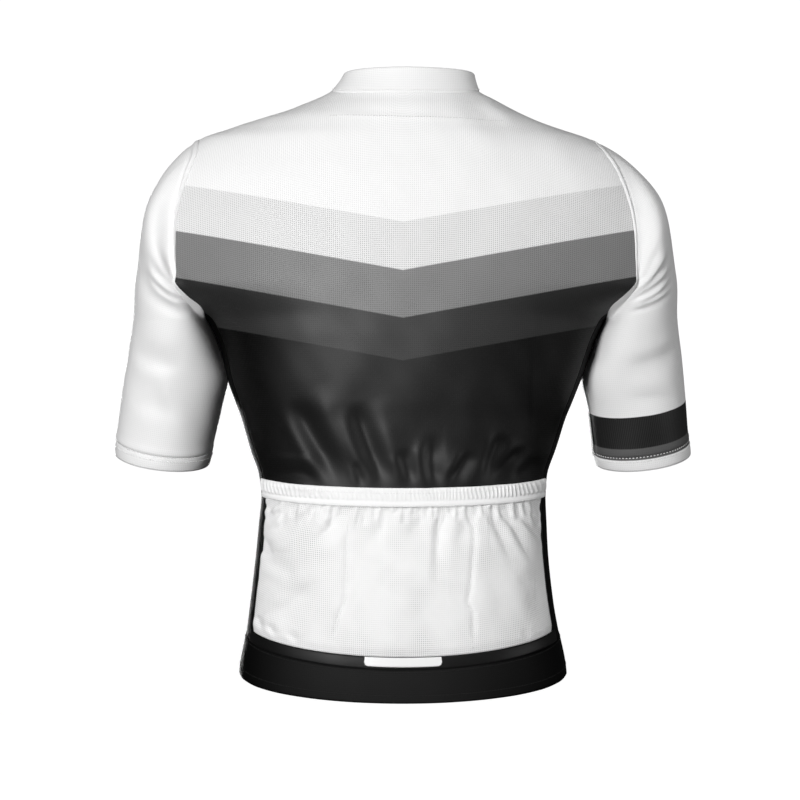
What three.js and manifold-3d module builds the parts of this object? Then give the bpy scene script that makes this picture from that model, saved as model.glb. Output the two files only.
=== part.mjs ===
// Short-sleeved cycling jersey in the hollow form it has when it is worn.
// Millimetres, +Z up, front of the garment towards -Y, wearer's left towards +X.
// The origin is the middle of the neck opening at the height of the neck seam.
import * as THREE from "three";
import Module from "manifold-3d";

const wasm = await Module();
wasm.setup();

// Cloth, seams and layers
const CLOTH_THICKNESS = 1.2;
const BAND_THICKNESS = 2.0;
const SEAM_GAP = 0.3;
const LAYER_GAP = 0.3;
const LAYER_THICKNESS = 1.0;

// Front zip
const ZIP_OPENING_HALF_WIDTH = 7.3;
const ZIP_TAPE_INNER_X = 2.7;
const ZIP_CHAIN_HALF_WIDTH = 2.4;
const ZIP_CHAIN_RAISE = 0.4;
const ZIP_CHAIN_THICKNESS = 2.0;

// Angles round the body, degrees: 0 is the wearer's left side, 90 the middle of the back
const BACK_MIDDLE = 90;
const FRONT_MIDDLE = -90;
const SIDE_SEAM_BACK = 20;
const SIDE_SEAM_FRONT = -26;
const SHOULDER_SEAM = -6;

// Armhole: heights of its top and its lowest point under the arm
const ARMHOLE_TOP_Z = -50;
const ARMHOLE_FOOT_Z = -238;
const UNDERARM_TURN = 160;

// Collar
const COLLAR_TOP_LEFT = 61;
const COLLAR_TOP_RIGHT = 70;
const COLLAR_TOP_BACK = 50;
const COLLAR_TOP_FRONT = 68;
const NECK_HALF_WIDTH = 77;
const COLLAR_EASE = 1.35;
const COLLAR_EASE_FROM_Y = -60;
const COLLAR_EASE_TO_Y = -5;
const COLLAR_BACK_LEVEL = -7;
const COLLAR_FRONT_LEVEL = -68;
const COLLAR_STRAIGHT_X = 8;
const COLLAR_ROUND_X = 30;

// Where folds fade: along their length, across their width, and towards the sides of the body
const FOLD_START_FADE = [-0.15, 0.3];
const FOLD_END_FADE = [0.75, 1.1];
const FOLD_WIDTH_SHARE = 1.6;
const FOLD_SIDE_FADE = [5, 35];

// Turns of the armhole over which the sleeve stops following the body, down to the underarm
const SLEEVE_CARRY_TURNS = [105, 150];
const SLEEVE_NORMAL_TURNS = [125, 160];
const UNDERARM_SHIFT_TURNS = [120, 160];

// How far thicker bands stand out of the cloth beside them
const CUFF_RAISE = 0.2;
const HEM_RAISE = 0.4;

// Mesh spacing of the panels
const BACK_COLUMNS = 30;
const FRONT_COLUMNS = 8;
const SIDE_COLUMNS = 4;
const POCKET_ROWS = 7;
const BAND_ROWS = 1;
const WAIST_ROWS = 7;
const SHOULDER_ROWS = 5;
const COLLAR_ROWS = 2;
const HEM_ROWS = 2;

function table(columns, rows) {
  return rows.map((row) => Object.fromEntries(columns.map((name, i) => [name, row[i]])));
}

// Level sections of the whole upper body with the sleeve caps, and of the torso below the armholes
const BODY = table(
  ["name", "z", "left", "right", "back", "front", "roundness"],
  [
    ["hem edge", -640, 174, 174, 113, 106, 2.3],
    ["hem side", -607, 171, 171, 113, 107, 2.3],
    ["hem seam", -575, 165.5, 165, 112, 108, 2.3],
    ["hip", -533, 160, 157.5, 109, 108, 2.3],
    ["pocket middle", -481, 154, 152, 105, 105, 2.3],
    ["pocket top", -450, 151, 150.5, 103, 103, 2.3],
    ["waist", -423, 148.5, 149.5, 103, 102, 2.3],
    ["band top", -402, 151, 151, 105, 103, 2.3],
    ["upper waist", -376, 159, 159.5, 108, 104, 2.3],
    ["low rib", -344, 168.5, 170, 112, 106, 2.3],
    ["rib", -323, 176.5, 178.5, 116, 109, 2.3],
    ["under arm gap", -302, 183.5, 187, 119, 112, 2.3],
    ["arm contact", -269, 191.5, 198, 122, 115, 2.3],
    ["below armhole", -252, 198.5, 205, 123, 117, 2.3],
    ["armhole foot", -238, 206.5, 213, 123, 118, 2.3],
    ["chest", -200, 278, 284.5, 123, 118, 2.3],
    ["upper chest", -176, 278, 284, 121, 117, 2.3],
    ["blade", -155, 276, 281, 118, 114, 2.3],
    ["blade top", -134, 272, 275.5, 114, 109, 2.3],
    ["arm top", -113, 265, 268, 108, 103, 2.25],
    ["cap", -92, 255, 256, 101, 96, 2.2],
    ["cap rise", -71, 239, 236, 92, 88, 2.15],
    ["shoulder point", -50, 213, 196, 83, 80, 2.1],
    ["shoulder", -40, 185, 167, 78, 75, 2.05],
    ["shoulder slope", -29, 153, 138, 73, 69, 2.05],
    ["neck slope", -19, 120, 116, 68, 64, 2.0],
    ["neck foot", -8, 92, 96, 61, 60, 2.0],
    ["neck side", 1, 75, 80, 58, 57, 2.0],
    ["neck top", 6, 71, 77, 57, 56, 2.0],
  ],
);

// Level lines of the seams round the body: height at the back, side and front
const SEAM_LEVELS = table(
  ["name", "back", "side", "front", "turn"],
  [
    ["hem edge", -630, -605, -586, 1.1],
    ["hem seam", -596, -566, -551, 1.5],
    ["pocket foot", -583, -553, -538, 1.3],
    ["band foot", -432, -420, -418, 1.1],
    ["band top", -412, -400, -398, 1.1],
  ],
);

// Armhole seam: how far the seam runs round the body, by the turn from its top (0) to the underarm (180)
const ARMHOLE = table(
  ["name", "turn", "back", "front"],
  [
    ["shoulder", 0, 0, 0],
    ["cap start", 20, 18, -18],
    ["cap", 40, 29, -29],
    ["blade top", 65, 33.5, -35],
    ["blade", 90, 35.5, -38.5],
    ["deepest", 112, 36.5, -40.5],
    ["lower", 130, 36.5, -39.5],
    ["low turn", 147, 30, -34],
    ["side seam", 160, 20, -26],
    ["underarm", 180, 0, 0],
  ],
);

// Neck seam: height by the angle round the body
const NECK = table(
  ["name", "angle", "z"],
  [
    ["front middle", -90, -68],
    ["front", -80, -54],
    ["front corner", -67, -30],
    ["side front", -38, -8],
    ["side", 0, 1],
    ["side back", 35, -3.5],
    ["back corner", 60, -6],
    ["back middle", 90, -7],
  ],
);

// Collar rim: height by the angle round the neck
const COLLAR_RIM = table(
  ["name", "angle", "z"],
  [
    ["front middle", -90, -39],
    ["front corner", -45, -8],
    ["side", 0, 18.5],
    ["back corner", 50, 21],
    ["back middle", 90, 21.5],
  ],
);

// Arm sections of the sleeves: end points in the side-to-side plane, depths, forward lean and
// how far the back and front of a section bow outwards
const SLEEVE = table(
  ["name", "outLeft", "outRight", "outZ", "inLeft", "inRight", "inZ", "middle", "back", "front", "lean",
    "bow", "roundness"],
  [
    ["cap", 262, 265, -106, 209, 215.5, -244, 1, 75, 70, 0.02, 19, 2.1],
    ["upper arm", 279, 285.5, -190, 206, 212.5, -254, -3, 66, 62, 0.1, 6, 2.2],
    ["armpit", 283.5, 289, -236, 197.5, 204, -272, -8, 61, 58, 0.17, 1, 2.2],
    ["upper middle", 290.5, 294, -276, 189.5, 192.5, -298, -16, 57, 55, 0.22, 0, 2.15],
    ["middle", 297.5, 298.5, -318, 191.5, 195, -331, -25, 54.5, 53, 0.25, 0, 2.1],
    ["cuff seam", 303.5, 303, -363, 202, 201, -376, -34, 52, 51, 0.25, 0, 2.05],
    ["cuff rim", 305.5, 305.5, -378, 205.5, 204.5, -390, -37, 51.5, 50.5, 0.25, 0, 2.05],
  ],
);

// Largest folds, as soft troughs (below 0) and ridges between two points seen from behind
const BACK_FOLDS = table(
  ["name", "x0", "z0", "x1", "z1", "width", "rise"],
  [
    ["waist left outer", 112, -330, 64, -404, 15, -3.0],
    ["waist left inner", 49, -335, 20, -402, 14, -3.2],
    ["waist middle", -35, -362, -32, -402, 12, -2.4],
    ["waist right", -99, -360, -78, -402, 15, -3.0],
    ["waist right outer", -124, -372, -96, -404, 13, -2.0],
    ["armpit left", 214, -217, 252, -170, 9, 2.2],
    ["armpit right", -226, -216, -268, -166, 9, 2.4],
    ["armpit right low", -228, -224, -272, -194, 9, 2.0],
  ],
);
const FRONT_FOLDS = table(
  ["name", "x0", "z0", "x1", "z1", "width", "rise"],
  [
    ["front waist left", 96, -330, 50, -412, 16, -2.6],
    ["front waist right", -98, -338, -58, -408, 16, -2.6],
    ["front armpit left", 214, -219, 250, -168, 10, 2.0],
    ["front armpit right", -226, -217, -262, -172, 10, 2.0],
  ],
);
// Fullness of the pocket bag between its stitched lines
const POCKET_FOLDS = table(
  ["name", "x0", "z0", "x1", "z1", "width", "rise"],
  [
    ["left pocket", 108, -470, 112, -545, 26, 3.0],
    ["middle pocket", 2, -470, 0, -560, 40, 3.2],
    ["right pocket", -110, -470, -116, -545, 26, 3.2],
    ["right deep fold", -40, -440, -34, -510, 9, -2.0],
  ],
);

// Smooth monotone curve through a table's column
function tableCurve(rows, key, value) {
  const sorted = [...rows].sort((a, b) => a[key] - b[key]);
  const xs = sorted.map((row) => row[key]);
  const ys = sorted.map((row) => row[value]);
  const last = xs.length - 1;
  const slopes = xs.slice(1).map((x, i) => (ys[i + 1] - ys[i]) / (x - xs[i]));
  const tangents = xs.map((_, i) => {
    if (i === 0) return slopes[0];
    if (i === last) return slopes[last - 1];
    const product = slopes[i - 1] * slopes[i];
    return product <= 0 ? 0 : (2 * product) / (slopes[i - 1] + slopes[i]);
  });
  return (x) => {
    const at = Math.min(Math.max(x, xs[0]), xs[last]);
    let i = 0;
    while (i < last - 1 && at > xs[i + 1]) i += 1;
    const span = xs[i + 1] - xs[i];
    const t = (at - xs[i]) / span;
    const t2 = t * t;
    const t3 = t2 * t;
    return (2 * t3 - 3 * t2 + 1) * ys[i] + (t3 - 2 * t2 + t) * span * tangents[i]
      + (3 * t2 - 2 * t3) * ys[i + 1] + (t3 - t2) * span * tangents[i + 1];
  };
}

const bodyLeft = tableCurve(BODY, "z", "left");
const bodyRight = tableCurve(BODY, "z", "right");
const bodyBack = tableCurve(BODY, "z", "back");
const bodyFront = tableCurve(BODY, "z", "front");
const bodyRoundness = tableCurve(BODY, "z", "roundness");
const armholeBack = tableCurve(ARMHOLE, "turn", "back");
const armholeFront = tableCurve(ARMHOLE, "turn", "front");
const neckHeight = tableCurve(NECK, "angle", "z");
const collarRimHeight = tableCurve(COLLAR_RIM, "angle", "z");

const radians = THREE.MathUtils.degToRad;
const lerp = THREE.MathUtils.lerp;
const smoothstep = (x, low, high) => THREE.MathUtils.smoothstep(x, low, high);

// Angle folded into -90..90, with the two halves of the body treated alike
function foldedAngle(angle) {
  return angle > BACK_MIDDLE ? 180 - angle : angle;
}

function ovalPoint(angle, left, right, back, front, roundness) {
  const c = Math.cos(radians(angle));
  const s = Math.sin(radians(angle));
  const reach = (Math.abs(c) ** roundness + Math.abs(s) ** roundness) ** (-1 / roundness);
  return [c * reach * (c >= 0 ? left : right), s * reach * (s >= 0 ? back : front)];
}

function foldRise(folds, x, z) {
  let rise = 0;
  for (const fold of folds) {
    const along = new THREE.Vector2(fold.x1 - fold.x0, fold.z1 - fold.z0);
    const length = along.length();
    const offset = new THREE.Vector2(x - fold.x0, z - fold.z0);
    const t = offset.dot(along) / (length * length);
    const side = Math.abs(offset.cross(along)) / length;
    const ends = smoothstep(t, ...FOLD_START_FADE) * (1 - smoothstep(t, ...FOLD_END_FADE));
    rise += fold.rise * Math.exp(-((side / (fold.width / FOLD_WIDTH_SHARE)) ** 2)) * ends;
  }
  return rise;
}

function bodyPoint(angle, z) {
  const [x, y] = ovalPoint(angle, bodyLeft(z), bodyRight(z), bodyBack(z), bodyFront(z), bodyRoundness(z));
  return new THREE.Vector3(x, y, z);
}

function bodyNormal(angle, z) {
  const step = 0.5;
  const round = bodyPoint(angle + step, z).sub(bodyPoint(angle - step, z));
  const up = bodyPoint(angle, z + step).sub(bodyPoint(angle, z - step));
  return round.cross(up).normalize();
}

// Outer face of the cloth and its direction outwards
function bodySurface(angle, z) {
  const normal = bodyNormal(angle, z);
  const point = bodyPoint(angle, z);
  const folds = point.y > 0 ? BACK_FOLDS : FRONT_FOLDS;
  const facing = smoothstep(Math.abs(point.y), ...FOLD_SIDE_FADE);
  point.addScaledVector(normal, foldRise(folds, point.x, point.z) * facing);
  return { point, normal };
}

function levelHeight(name, angle) {
  const level = SEAM_LEVELS.find((row) => row.name === name);
  const s = Math.sin(radians(angle));
  const end = s >= 0 ? level.back : level.front;
  return lerp(level.side, end, Math.abs(s) ** level.turn);
}

// Armhole seam in body coordinates; the turn is positive at the back and negative at the front
function armholePlace(turn) {
  const angle = turn >= 0 ? armholeBack(turn) : armholeFront(-turn);
  const z = lerp(ARMHOLE_TOP_Z, ARMHOLE_FOOT_Z, (1 - Math.cos(radians(turn))) / 2);
  return [angle, z];
}

// Body angle at a small distance from the front middle, where the section's reach is still 1
function zipEdgeAngle(x, z) {
  const half = x >= 0 ? bodyLeft(z) : bodyRight(z);
  const angle = -THREE.MathUtils.radToDeg(Math.acos(Math.abs(x) / half));
  return x >= 0 ? angle : -180 - angle;
}

function collarTop(angle) {
  const base = bodyPoint(angle, neckHeight(foldedAngle(angle)));
  const depth = base.y >= 0 ? bodyBack(COLLAR_BACK_LEVEL) : bodyFront(COLLAR_FRONT_LEVEL);
  const round = THREE.MathUtils.radToDeg(Math.atan2(base.y / depth, base.x / NECK_HALF_WIDTH));
  const [x, y] = ovalPoint(round, COLLAR_TOP_LEFT, COLLAR_TOP_RIGHT, COLLAR_TOP_BACK, COLLAR_TOP_FRONT, 2);
  const folded = Math.abs(round) > 90 ? Math.sign(round || 1) * (180 - Math.abs(round)) : round;
  const nearZip = 1 - smoothstep(Math.abs(base.x), COLLAR_STRAIGHT_X, COLLAR_ROUND_X);
  const topX = base.y < 0 ? lerp(x, base.x, nearZip) : x;
  return new THREE.Vector3(topX, y, collarRimHeight(folded));
}

function collarPoint(angle, height) {
  const base = bodyPoint(angle, neckHeight(foldedAngle(angle)));
  const top = collarTop(angle);
  const ease = lerp(1, COLLAR_EASE, smoothstep(base.y, COLLAR_EASE_FROM_Y, COLLAR_EASE_TO_Y));
  const inward = 1 - (1 - height) ** ease;
  return new THREE.Vector3(
    lerp(base.x, top.x, inward), lerp(base.y, top.y, inward), lerp(base.z, top.z, height));
}

function collarSurface(angle, height) {
  const step = 0.5;
  const round = collarPoint(angle + step, height).sub(collarPoint(angle - step, height));
  const rise = 0.02;
  const low = Math.max(0, height - rise);
  const up = collarPoint(angle, Math.min(1, height + rise)).sub(collarPoint(angle, low));
  const normal = round.cross(up).normalize();
  if (height === 0) {
    const share = lerp(1, 0.5, smoothstep(collarPoint(angle, 0).y, -40, 10));
    normal.lerp(bodyNormal(angle, neckHeight(foldedAngle(angle))), share).normalize();
  }
  return { point: collarPoint(angle, height), normal };
}

// One arm section's point; turn 0 is outermost, 90 back, 180 innermost
function armSectionPoint(side, row, turn) {
  const out = side > 0 ? row.outLeft : row.outRight;
  const inner = side > 0 ? row.inLeft : row.inRight;
  const [across, depth] = ovalPoint(turn, 1, 1, row.back, row.front, row.roundness);
  const bow = row.bow * Math.sin(radians(turn)) ** 2;
  const x = (out + inner) / 2 + ((out - inner) / 2) * across + bow;
  const z = (row.outZ + row.inZ) / 2 + ((row.outZ - row.inZ) / 2) * across - row.lean * depth;
  return new THREE.Vector3(side * x, row.middle + depth, z);
}

function armholePoint(side, turn) {
  const [angle, z] = armholePlace(turn);
  return bodyPoint(side > 0 ? angle : 180 - angle, z);
}

// Direction in which the body surface carries on past the armhole seam
function armholeDirection(side, turn) {
  const step = 1;
  const wrap = (value) => (value > 180 ? value - 360 : value < -180 ? value + 360 : value);
  const along = armholePoint(side, wrap(turn + step)).sub(armholePoint(side, wrap(turn - step)));
  const [angle, z] = armholePlace(turn);
  const normal = bodyNormal(side > 0 ? angle : 180 - angle, z);
  return along.cross(normal).multiplyScalar(side).normalize();
}

function sleeveControl(side, turn) {
  const points = [armholePoint(side, turn)];
  for (const row of SLEEVE) points.push(armSectionPoint(side, row, turn));
  return points;
}

// Places of the sections along the sleeve: 0 at the armhole, 1 at the cuff rim
const SLEEVE_STATIONS = [0, 0.2, 0.4, 0.53, 0.67, 0.82, 0.955, 1];
const CUFF_SEAM_STATION = 0.955;

function sleevePoint(side, station, turn) {
  const points = sleeveControl(side, turn);
  const stations = SLEEVE_STATIONS;
  const last = points.length - 1;
  let i = 0;
  while (i < last - 1 && station > stations[i + 1]) i += 1;
  const tangent = (k) => {
    const low = Math.max(0, k - 1);
    const high = Math.min(last, k + 1);
    const secant = points[high].clone().sub(points[low]).divideScalar(stations[high] - stations[low]);
    if (k > 0) return secant;
    const carried = 1 - smoothstep(Math.abs(turn), ...SLEEVE_CARRY_TURNS);
    const onward = armholeDirection(side, turn).multiplyScalar(secant.length());
    return secant.lerp(onward, carried);
  };
  const span = stations[i + 1] - stations[i];
  const t = (station - stations[i]) / span;
  const t2 = t * t;
  const t3 = t2 * t;
  return points[i].clone().multiplyScalar(2 * t3 - 3 * t2 + 1)
    .addScaledVector(tangent(i), (t3 - 2 * t2 + t) * span)
    .addScaledVector(points[i + 1], 3 * t2 - 2 * t3)
    .addScaledVector(tangent(i + 1), (t3 - t2) * span);
}

function sleeveSurface(side, station, turn) {
  const step = 1;
  const wrap = (value) => (value > 180 ? value - 360 : value < -180 ? value + 360 : value);
  const round = sleevePoint(side, station, wrap(turn + step)).sub(sleevePoint(side, station, wrap(turn - step)));
  const low = Math.max(0, station - 0.01);
  const down = sleevePoint(side, Math.min(1, station + 0.01), turn).sub(sleevePoint(side, low, turn));
  const normal = down.cross(round).multiplyScalar(side).normalize();
  const point = sleevePoint(side, station, turn);
  if (station === 0) {
    const [angle, z] = armholePlace(turn);
    const shared = 1 - smoothstep(Math.abs(turn), ...SLEEVE_NORMAL_TURNS);
    normal.lerp(bodyNormal(side > 0 ? angle : 180 - angle, z), shared).normalize();
  }
  const facing = smoothstep(Math.abs(point.y), ...FOLD_SIDE_FADE);
  const folds = turn > 0 ? BACK_FOLDS : FRONT_FOLDS;
  point.addScaledVector(normal, foldRise(folds, point.x, point.z) * facing);
  return { point, normal };
}

// Closed wall between an outer and an inner grid of points
function wallGeometry(outer, inner, closed) {
  const rows = outer.length;
  const columns = outer[0].length;
  const positions = [];
  for (const grid of [outer, inner]) {
    for (const row of grid) {
      for (const p of row) positions.push(p.x, p.y, p.z);
    }
  }
  const index = (side, r, c) => side * rows * columns + r * columns + (c % columns);
  const faces = [];
  const quad = (a, b, c, d) => faces.push(a, b, c, a, c, d);
  const steps = closed ? columns : columns - 1;
  for (let r = 0; r < rows - 1; r += 1) {
    for (let c = 0; c < steps; c += 1) {
      quad(index(0, r, c), index(0, r, c + 1), index(0, r + 1, c + 1), index(0, r + 1, c));
      quad(index(1, r, c), index(1, r + 1, c), index(1, r + 1, c + 1), index(1, r, c + 1));
    }
  }
  for (let c = 0; c < steps; c += 1) {
    quad(index(0, 0, c), index(1, 0, c), index(1, 0, c + 1), index(0, 0, c + 1));
    const r = rows - 1;
    quad(index(0, r, c), index(0, r, c + 1), index(1, r, c + 1), index(1, r, c));
  }
  if (!closed) {
    const c = columns - 1;
    for (let r = 0; r < rows - 1; r += 1) {
      quad(index(0, r, 0), index(0, r + 1, 0), index(1, r + 1, 0), index(1, r, 0));
      quad(index(0, r, c), index(1, r, c), index(1, r + 1, c), index(0, r + 1, c));
    }
  }
  return orientedGeometry(positions, faces);
}

// Faces turned so that they all point out
function orientedGeometry(positions, faces) {
  let volume = 0;
  const at = (i) => new THREE.Vector3(positions[3 * i], positions[3 * i + 1], positions[3 * i + 2]);
  for (let i = 0; i < faces.length; i += 3) {
    volume += at(faces[i]).dot(at(faces[i + 1]).cross(at(faces[i + 2])));
  }
  const turned = volume < 0 ? faces.map((_, i) => faces[i - (i % 3) + (2 - (i % 3))]) : faces;
  const geometry = new THREE.BufferGeometry();
  geometry.setAttribute("position", new THREE.Float32BufferAttribute(positions, 3));
  geometry.setIndex(turned);
  geometry.computeVertexNormals();
  return geometry;
}

// Sideways moves that pull the edges of a grid back from its seams.
// insets: bottom, right, top, left; a closed grid has only bottom and top
function seamMoves(grid, insets, closed) {
  const rows = grid.length;
  const columns = grid[0].length;
  const moves = grid.map((row) => row.map(() => new THREE.Vector3()));
  const cell = (r, c) => grid[r][(c + columns) % columns];
  const edgeInward = (from, to, normal, inside) => {
    const along = to.point.clone().sub(from.point);
    const across = along.cross(normal).normalize();
    const toInside = inside.point.clone().sub(from.point);
    return across.dot(toInside) < 0 ? across.negate() : across;
  };
  const combine = (parts) => {
    const [a, b] = parts;
    const g = a.direction.dot(b.direction);
    if (g > 0.9 || Math.abs(a.inset - b.inset) < 1e-9) {
      const size = Math.max(a.inset, b.inset) / Math.max(0.4, 1 + g);
      return a.direction.clone().add(b.direction).multiplyScalar(size);
    }
    const scale = 1 / (1 - g * g);
    return a.direction.clone().multiplyScalar((a.inset - g * b.inset) * scale)
      .addScaledVector(b.direction, (b.inset - g * a.inset) * scale);
  };
  const loop = [];
  if (closed) {
    for (const [r, inset, next] of [[0, insets.bottom, 1], [rows - 1, insets.top, rows - 2]]) {
      for (let c = 0; c < columns; c += 1) {
        const here = cell(r, c);
        const parts = [-1, 1].map((d) => (
          { inset, direction: edgeInward(here, cell(r, c + d), here.normal, cell(next, c)) }));
        moves[r][c].copy(combine(parts));
      }
    }
    return moves;
  }
  for (let c = 0; c < columns - 1; c += 1) loop.push([0, c, insets.bottom, 1, c]);
  for (let r = 0; r < rows - 1; r += 1) loop.push([r, columns - 1, insets.right, r, columns - 2]);
  for (let c = columns - 1; c > 0; c -= 1) loop.push([rows - 1, c, insets.top, rows - 2, c]);
  for (let r = rows - 1; r > 0; r -= 1) loop.push([r, 0, insets.left, r, 1]);
  const corner = cell(0, 0);
  const bottomEdge = cell(0, 1).point.clone().sub(corner.point);
  const insideWay = cell(1, 0).point.clone().sub(corner.point);
  const turnSign = Math.sign(bottomEdge.cross(corner.normal).dot(insideWay));
  loop.forEach(([r, c, inset], k) => {
    const before = loop[(k + loop.length - 1) % loop.length];
    const after = loop[(k + 1) % loop.length];
    const here = cell(r, c);
    const inward = (from, to) => cell(to[0], to[1]).point.clone()
      .sub(cell(from[0], from[1]).point).cross(here.normal).normalize().multiplyScalar(turnSign);
    const parts = [
      { inset: before[2], direction: inward(before, loop[k]) },
      { inset, direction: inward(loop[k], after) },
    ];
    moves[r][c].copy(combine(parts));
  });
  return moves;
}

// Cloth wall from a grid of surface places: outerRaise above the face, then its thickness inwards
function clothWall(grid, { insets, closed = false, outerRaise = 0, thickness = CLOTH_THICKNESS, shift = null }) {
  const moves = seamMoves(grid, insets, closed);
  const layer = (raise) => grid.map((row, r) => row.map((place, c) => {
    const p = place.point.clone().addScaledVector(place.normal, raise).add(moves[r][c]);
    return shift ? p.add(shift(r, c)) : p;
  }));
  return wallGeometry(layer(outerRaise), layer(outerRaise - thickness), closed);
}

const HALF_SEAM = SEAM_GAP / 2;
const seams = (bottom, right, top, left) => ({
  bottom: bottom * HALF_SEAM, right: right * HALF_SEAM, top: top * HALF_SEAM, left: left * HALF_SEAM });

// Turns of the armhole seam that the panel rows meet, from the side seam up to the shoulder seam
const ARMHOLE_TURNS = [UNDERARM_TURN, 145, 130, 114, 98, 82, 66, 50, 34, 18];
const BACK_TURNS = [...ARMHOLE_TURNS, SHOULDER_SEAM];
const FRONT_TURNS = [...ARMHOLE_TURNS.map((turn) => -turn), SHOULDER_SEAM];

// Places [angle, z] of the upper panels' outer edge: up the armhole, then along the shoulder seam
function outerEdge(turns) {
  const places = turns.map((turn) => armholePlace(turn));
  const [tipAngle, tipZ] = places[places.length - 1];
  for (let k = 1; k <= SHOULDER_ROWS; k += 1) {
    const t = k / SHOULDER_ROWS;
    const angle = lerp(tipAngle, SHOULDER_SEAM, t);
    places.push([angle, lerp(tipZ, neckHeight(SHOULDER_SEAM), t)]);
  }
  return places;
}

const LOWER_LEVELS = (() => {
  const rows = [];
  const between = (low, high, count) => {
    for (let k = 0; k < count; k += 1) rows.push({ low, high, t: k / count });
  };
  between("hem seam", "pocket foot", 1);
  between("pocket foot", "band foot", POCKET_ROWS);
  between("band foot", "band top", BAND_ROWS);
  between("band top", "underarm", WAIST_ROWS);
  return rows;
})();

function lowerHeight(row, angle) {
  const high = row.high === "underarm" ? armholePlace(UNDERARM_TURN)[1] : levelHeight(row.high, angle);
  return lerp(levelHeight(row.low, angle), high, row.t);
}

function lowerRows(startAngle, endAngle, columns, rows = LOWER_LEVELS) {
  return rows.map((row) => Array.from({ length: columns + 1 }, (_, c) => {
    const start = typeof startAngle === "function" ? startAngle(row) : startAngle;
    const end = typeof endAngle === "function" ? endAngle(row) : endAngle;
    const angle = lerp(start, end, c / columns);
    return [angle, lowerHeight(row, foldedAngle(angle))];
  }));
}

// Upper part of a panel as a patch between its four edges, in body coordinates
function upperRows(bottom, top, left, right) {
  const rows = left.length;
  const columns = bottom.length;
  const result = [];
  for (let r = 0; r < rows; r += 1) {
    const v = r / (rows - 1);
    const row = [];
    for (let c = 0; c < columns; c += 1) {
      const u = c / (columns - 1);
      row.push([0, 1].map((k) => (1 - v) * bottom[c][k] + v * top[c][k]
        + (1 - u) * left[r][k] + u * right[r][k]
        - (1 - u) * (1 - v) * bottom[0][k] - u * (1 - v) * bottom[columns - 1][k]
        - (1 - u) * v * top[0][k] - u * v * top[columns - 1][k]));
    }
    result.push(row);
  }
  return result;
}

const evenly = (from, to, count) => Array.from({ length: count + 1 }, (_, k) => lerp(from, to, k / count));
const UNDERARM_Z = armholePlace(UNDERARM_TURN)[1];

// Back panel, from the left side seam round to the right
function backPlaces() {
  const mirrored = ([angle, z]) => [180 - angle, z];
  const left = outerEdge(BACK_TURNS);
  const bottom = evenly(SIDE_SEAM_BACK, 180 - SIDE_SEAM_BACK, BACK_COLUMNS).map((angle) => [angle, UNDERARM_Z]);
  const top = evenly(SHOULDER_SEAM, 180 - SHOULDER_SEAM, BACK_COLUMNS)
    .map((angle) => [angle, neckHeight(foldedAngle(angle))]);
  const lower = lowerRows(SIDE_SEAM_BACK, 180 - SIDE_SEAM_BACK, BACK_COLUMNS);
  return [...lower, ...upperRows(bottom, top, left, left.map(mirrored))];
}

// Height at the zip of the panel row that ends at the shoulder point
const SHOULDER_ROW_FRONT_Z = -82;

// Front panels, from the zip edge round to the side seam; side is 1 for the wearer's left
function frontPlaces(side) {
  const mirror = ([angle, z]) => [-180 - angle, z];
  const zipPlace = (z) => [zipEdgeAngle(ZIP_OPENING_HALF_WIDTH, z), z];
  const right = outerEdge(FRONT_TURNS);
  const neckZ = neckHeight(zipEdgeAngle(ZIP_OPENING_HALF_WIDTH, neckHeight(FRONT_MIDDLE)));
  const tip = FRONT_TURNS.length - 1;
  const left = right.map(([, z], r) => (r <= tip
    ? lerp(UNDERARM_Z, SHOULDER_ROW_FRONT_Z, (z - UNDERARM_Z) / (right[tip][1] - UNDERARM_Z))
    : lerp(SHOULDER_ROW_FRONT_Z, neckZ, (r - tip) / SHOULDER_ROWS))).map(zipPlace);
  const bottom = evenly(left[0][0], SIDE_SEAM_FRONT, FRONT_COLUMNS).map((angle) => [angle, UNDERARM_Z]);
  const neckStart = left[left.length - 1][0];
  const top = evenly(neckStart, SHOULDER_SEAM, FRONT_COLUMNS).map((angle) => [angle, neckHeight(angle)]);
  const zipAngle = (row) => zipEdgeAngle(ZIP_OPENING_HALF_WIDTH, lowerHeight(row, FRONT_MIDDLE));
  const lower = lowerRows(zipAngle, SIDE_SEAM_FRONT, FRONT_COLUMNS);
  const places = [...lower, ...upperRows(bottom, top, left, right)];
  return side > 0 ? places : places.map((row) => row.map(mirror));
}

// Side panels, from the back side seam to the front one, up to the armhole
function sidePlaces(side) {
  const lower = lowerRows(SIDE_SEAM_BACK, SIDE_SEAM_FRONT, SIDE_COLUMNS);
  lower.push(underarmPlaces());
  return side > 0 ? lower : lower.map((row) => row.map(([angle, z]) => [180 - angle, z]));
}

// Turns of the armhole seam under the arm that the side panel's columns meet
const UNDERARM_TURNS = evenly(UNDERARM_TURN, 360 - UNDERARM_TURN, SIDE_COLUMNS)
  .map((turn) => (turn > 180 ? turn - 360 : turn));

function underarmPlaces() {
  return UNDERARM_TURNS.map((turn) => armholePlace(turn));
}

const bodyGrid = (places) => places.map((row) => row.map(([angle, z]) => bodySurface(angle, z)));

const group = new THREE.Group();
function addMesh(name, geometry, color, roughness, metalness = 0) {
  const material = new THREE.MeshStandardMaterial({ color, roughness, metalness });
  const mesh = new THREE.Mesh(geometry, material);
  mesh.name = name;
  group.add(mesh);
}

const WHITE = 0xeeeeee;
const PRINT = 0x9a9a9c;
const BLACK = 0x1d1d1f;
const SATIN = 0x2c2c2e;
const SILVER = 0xc8c8cc;
const CLOTH_ROUGHNESS = 0.85;
const SATIN_ROUGHNESS = 0.45;
const METAL_ROUGHNESS = 0.35;

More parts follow.
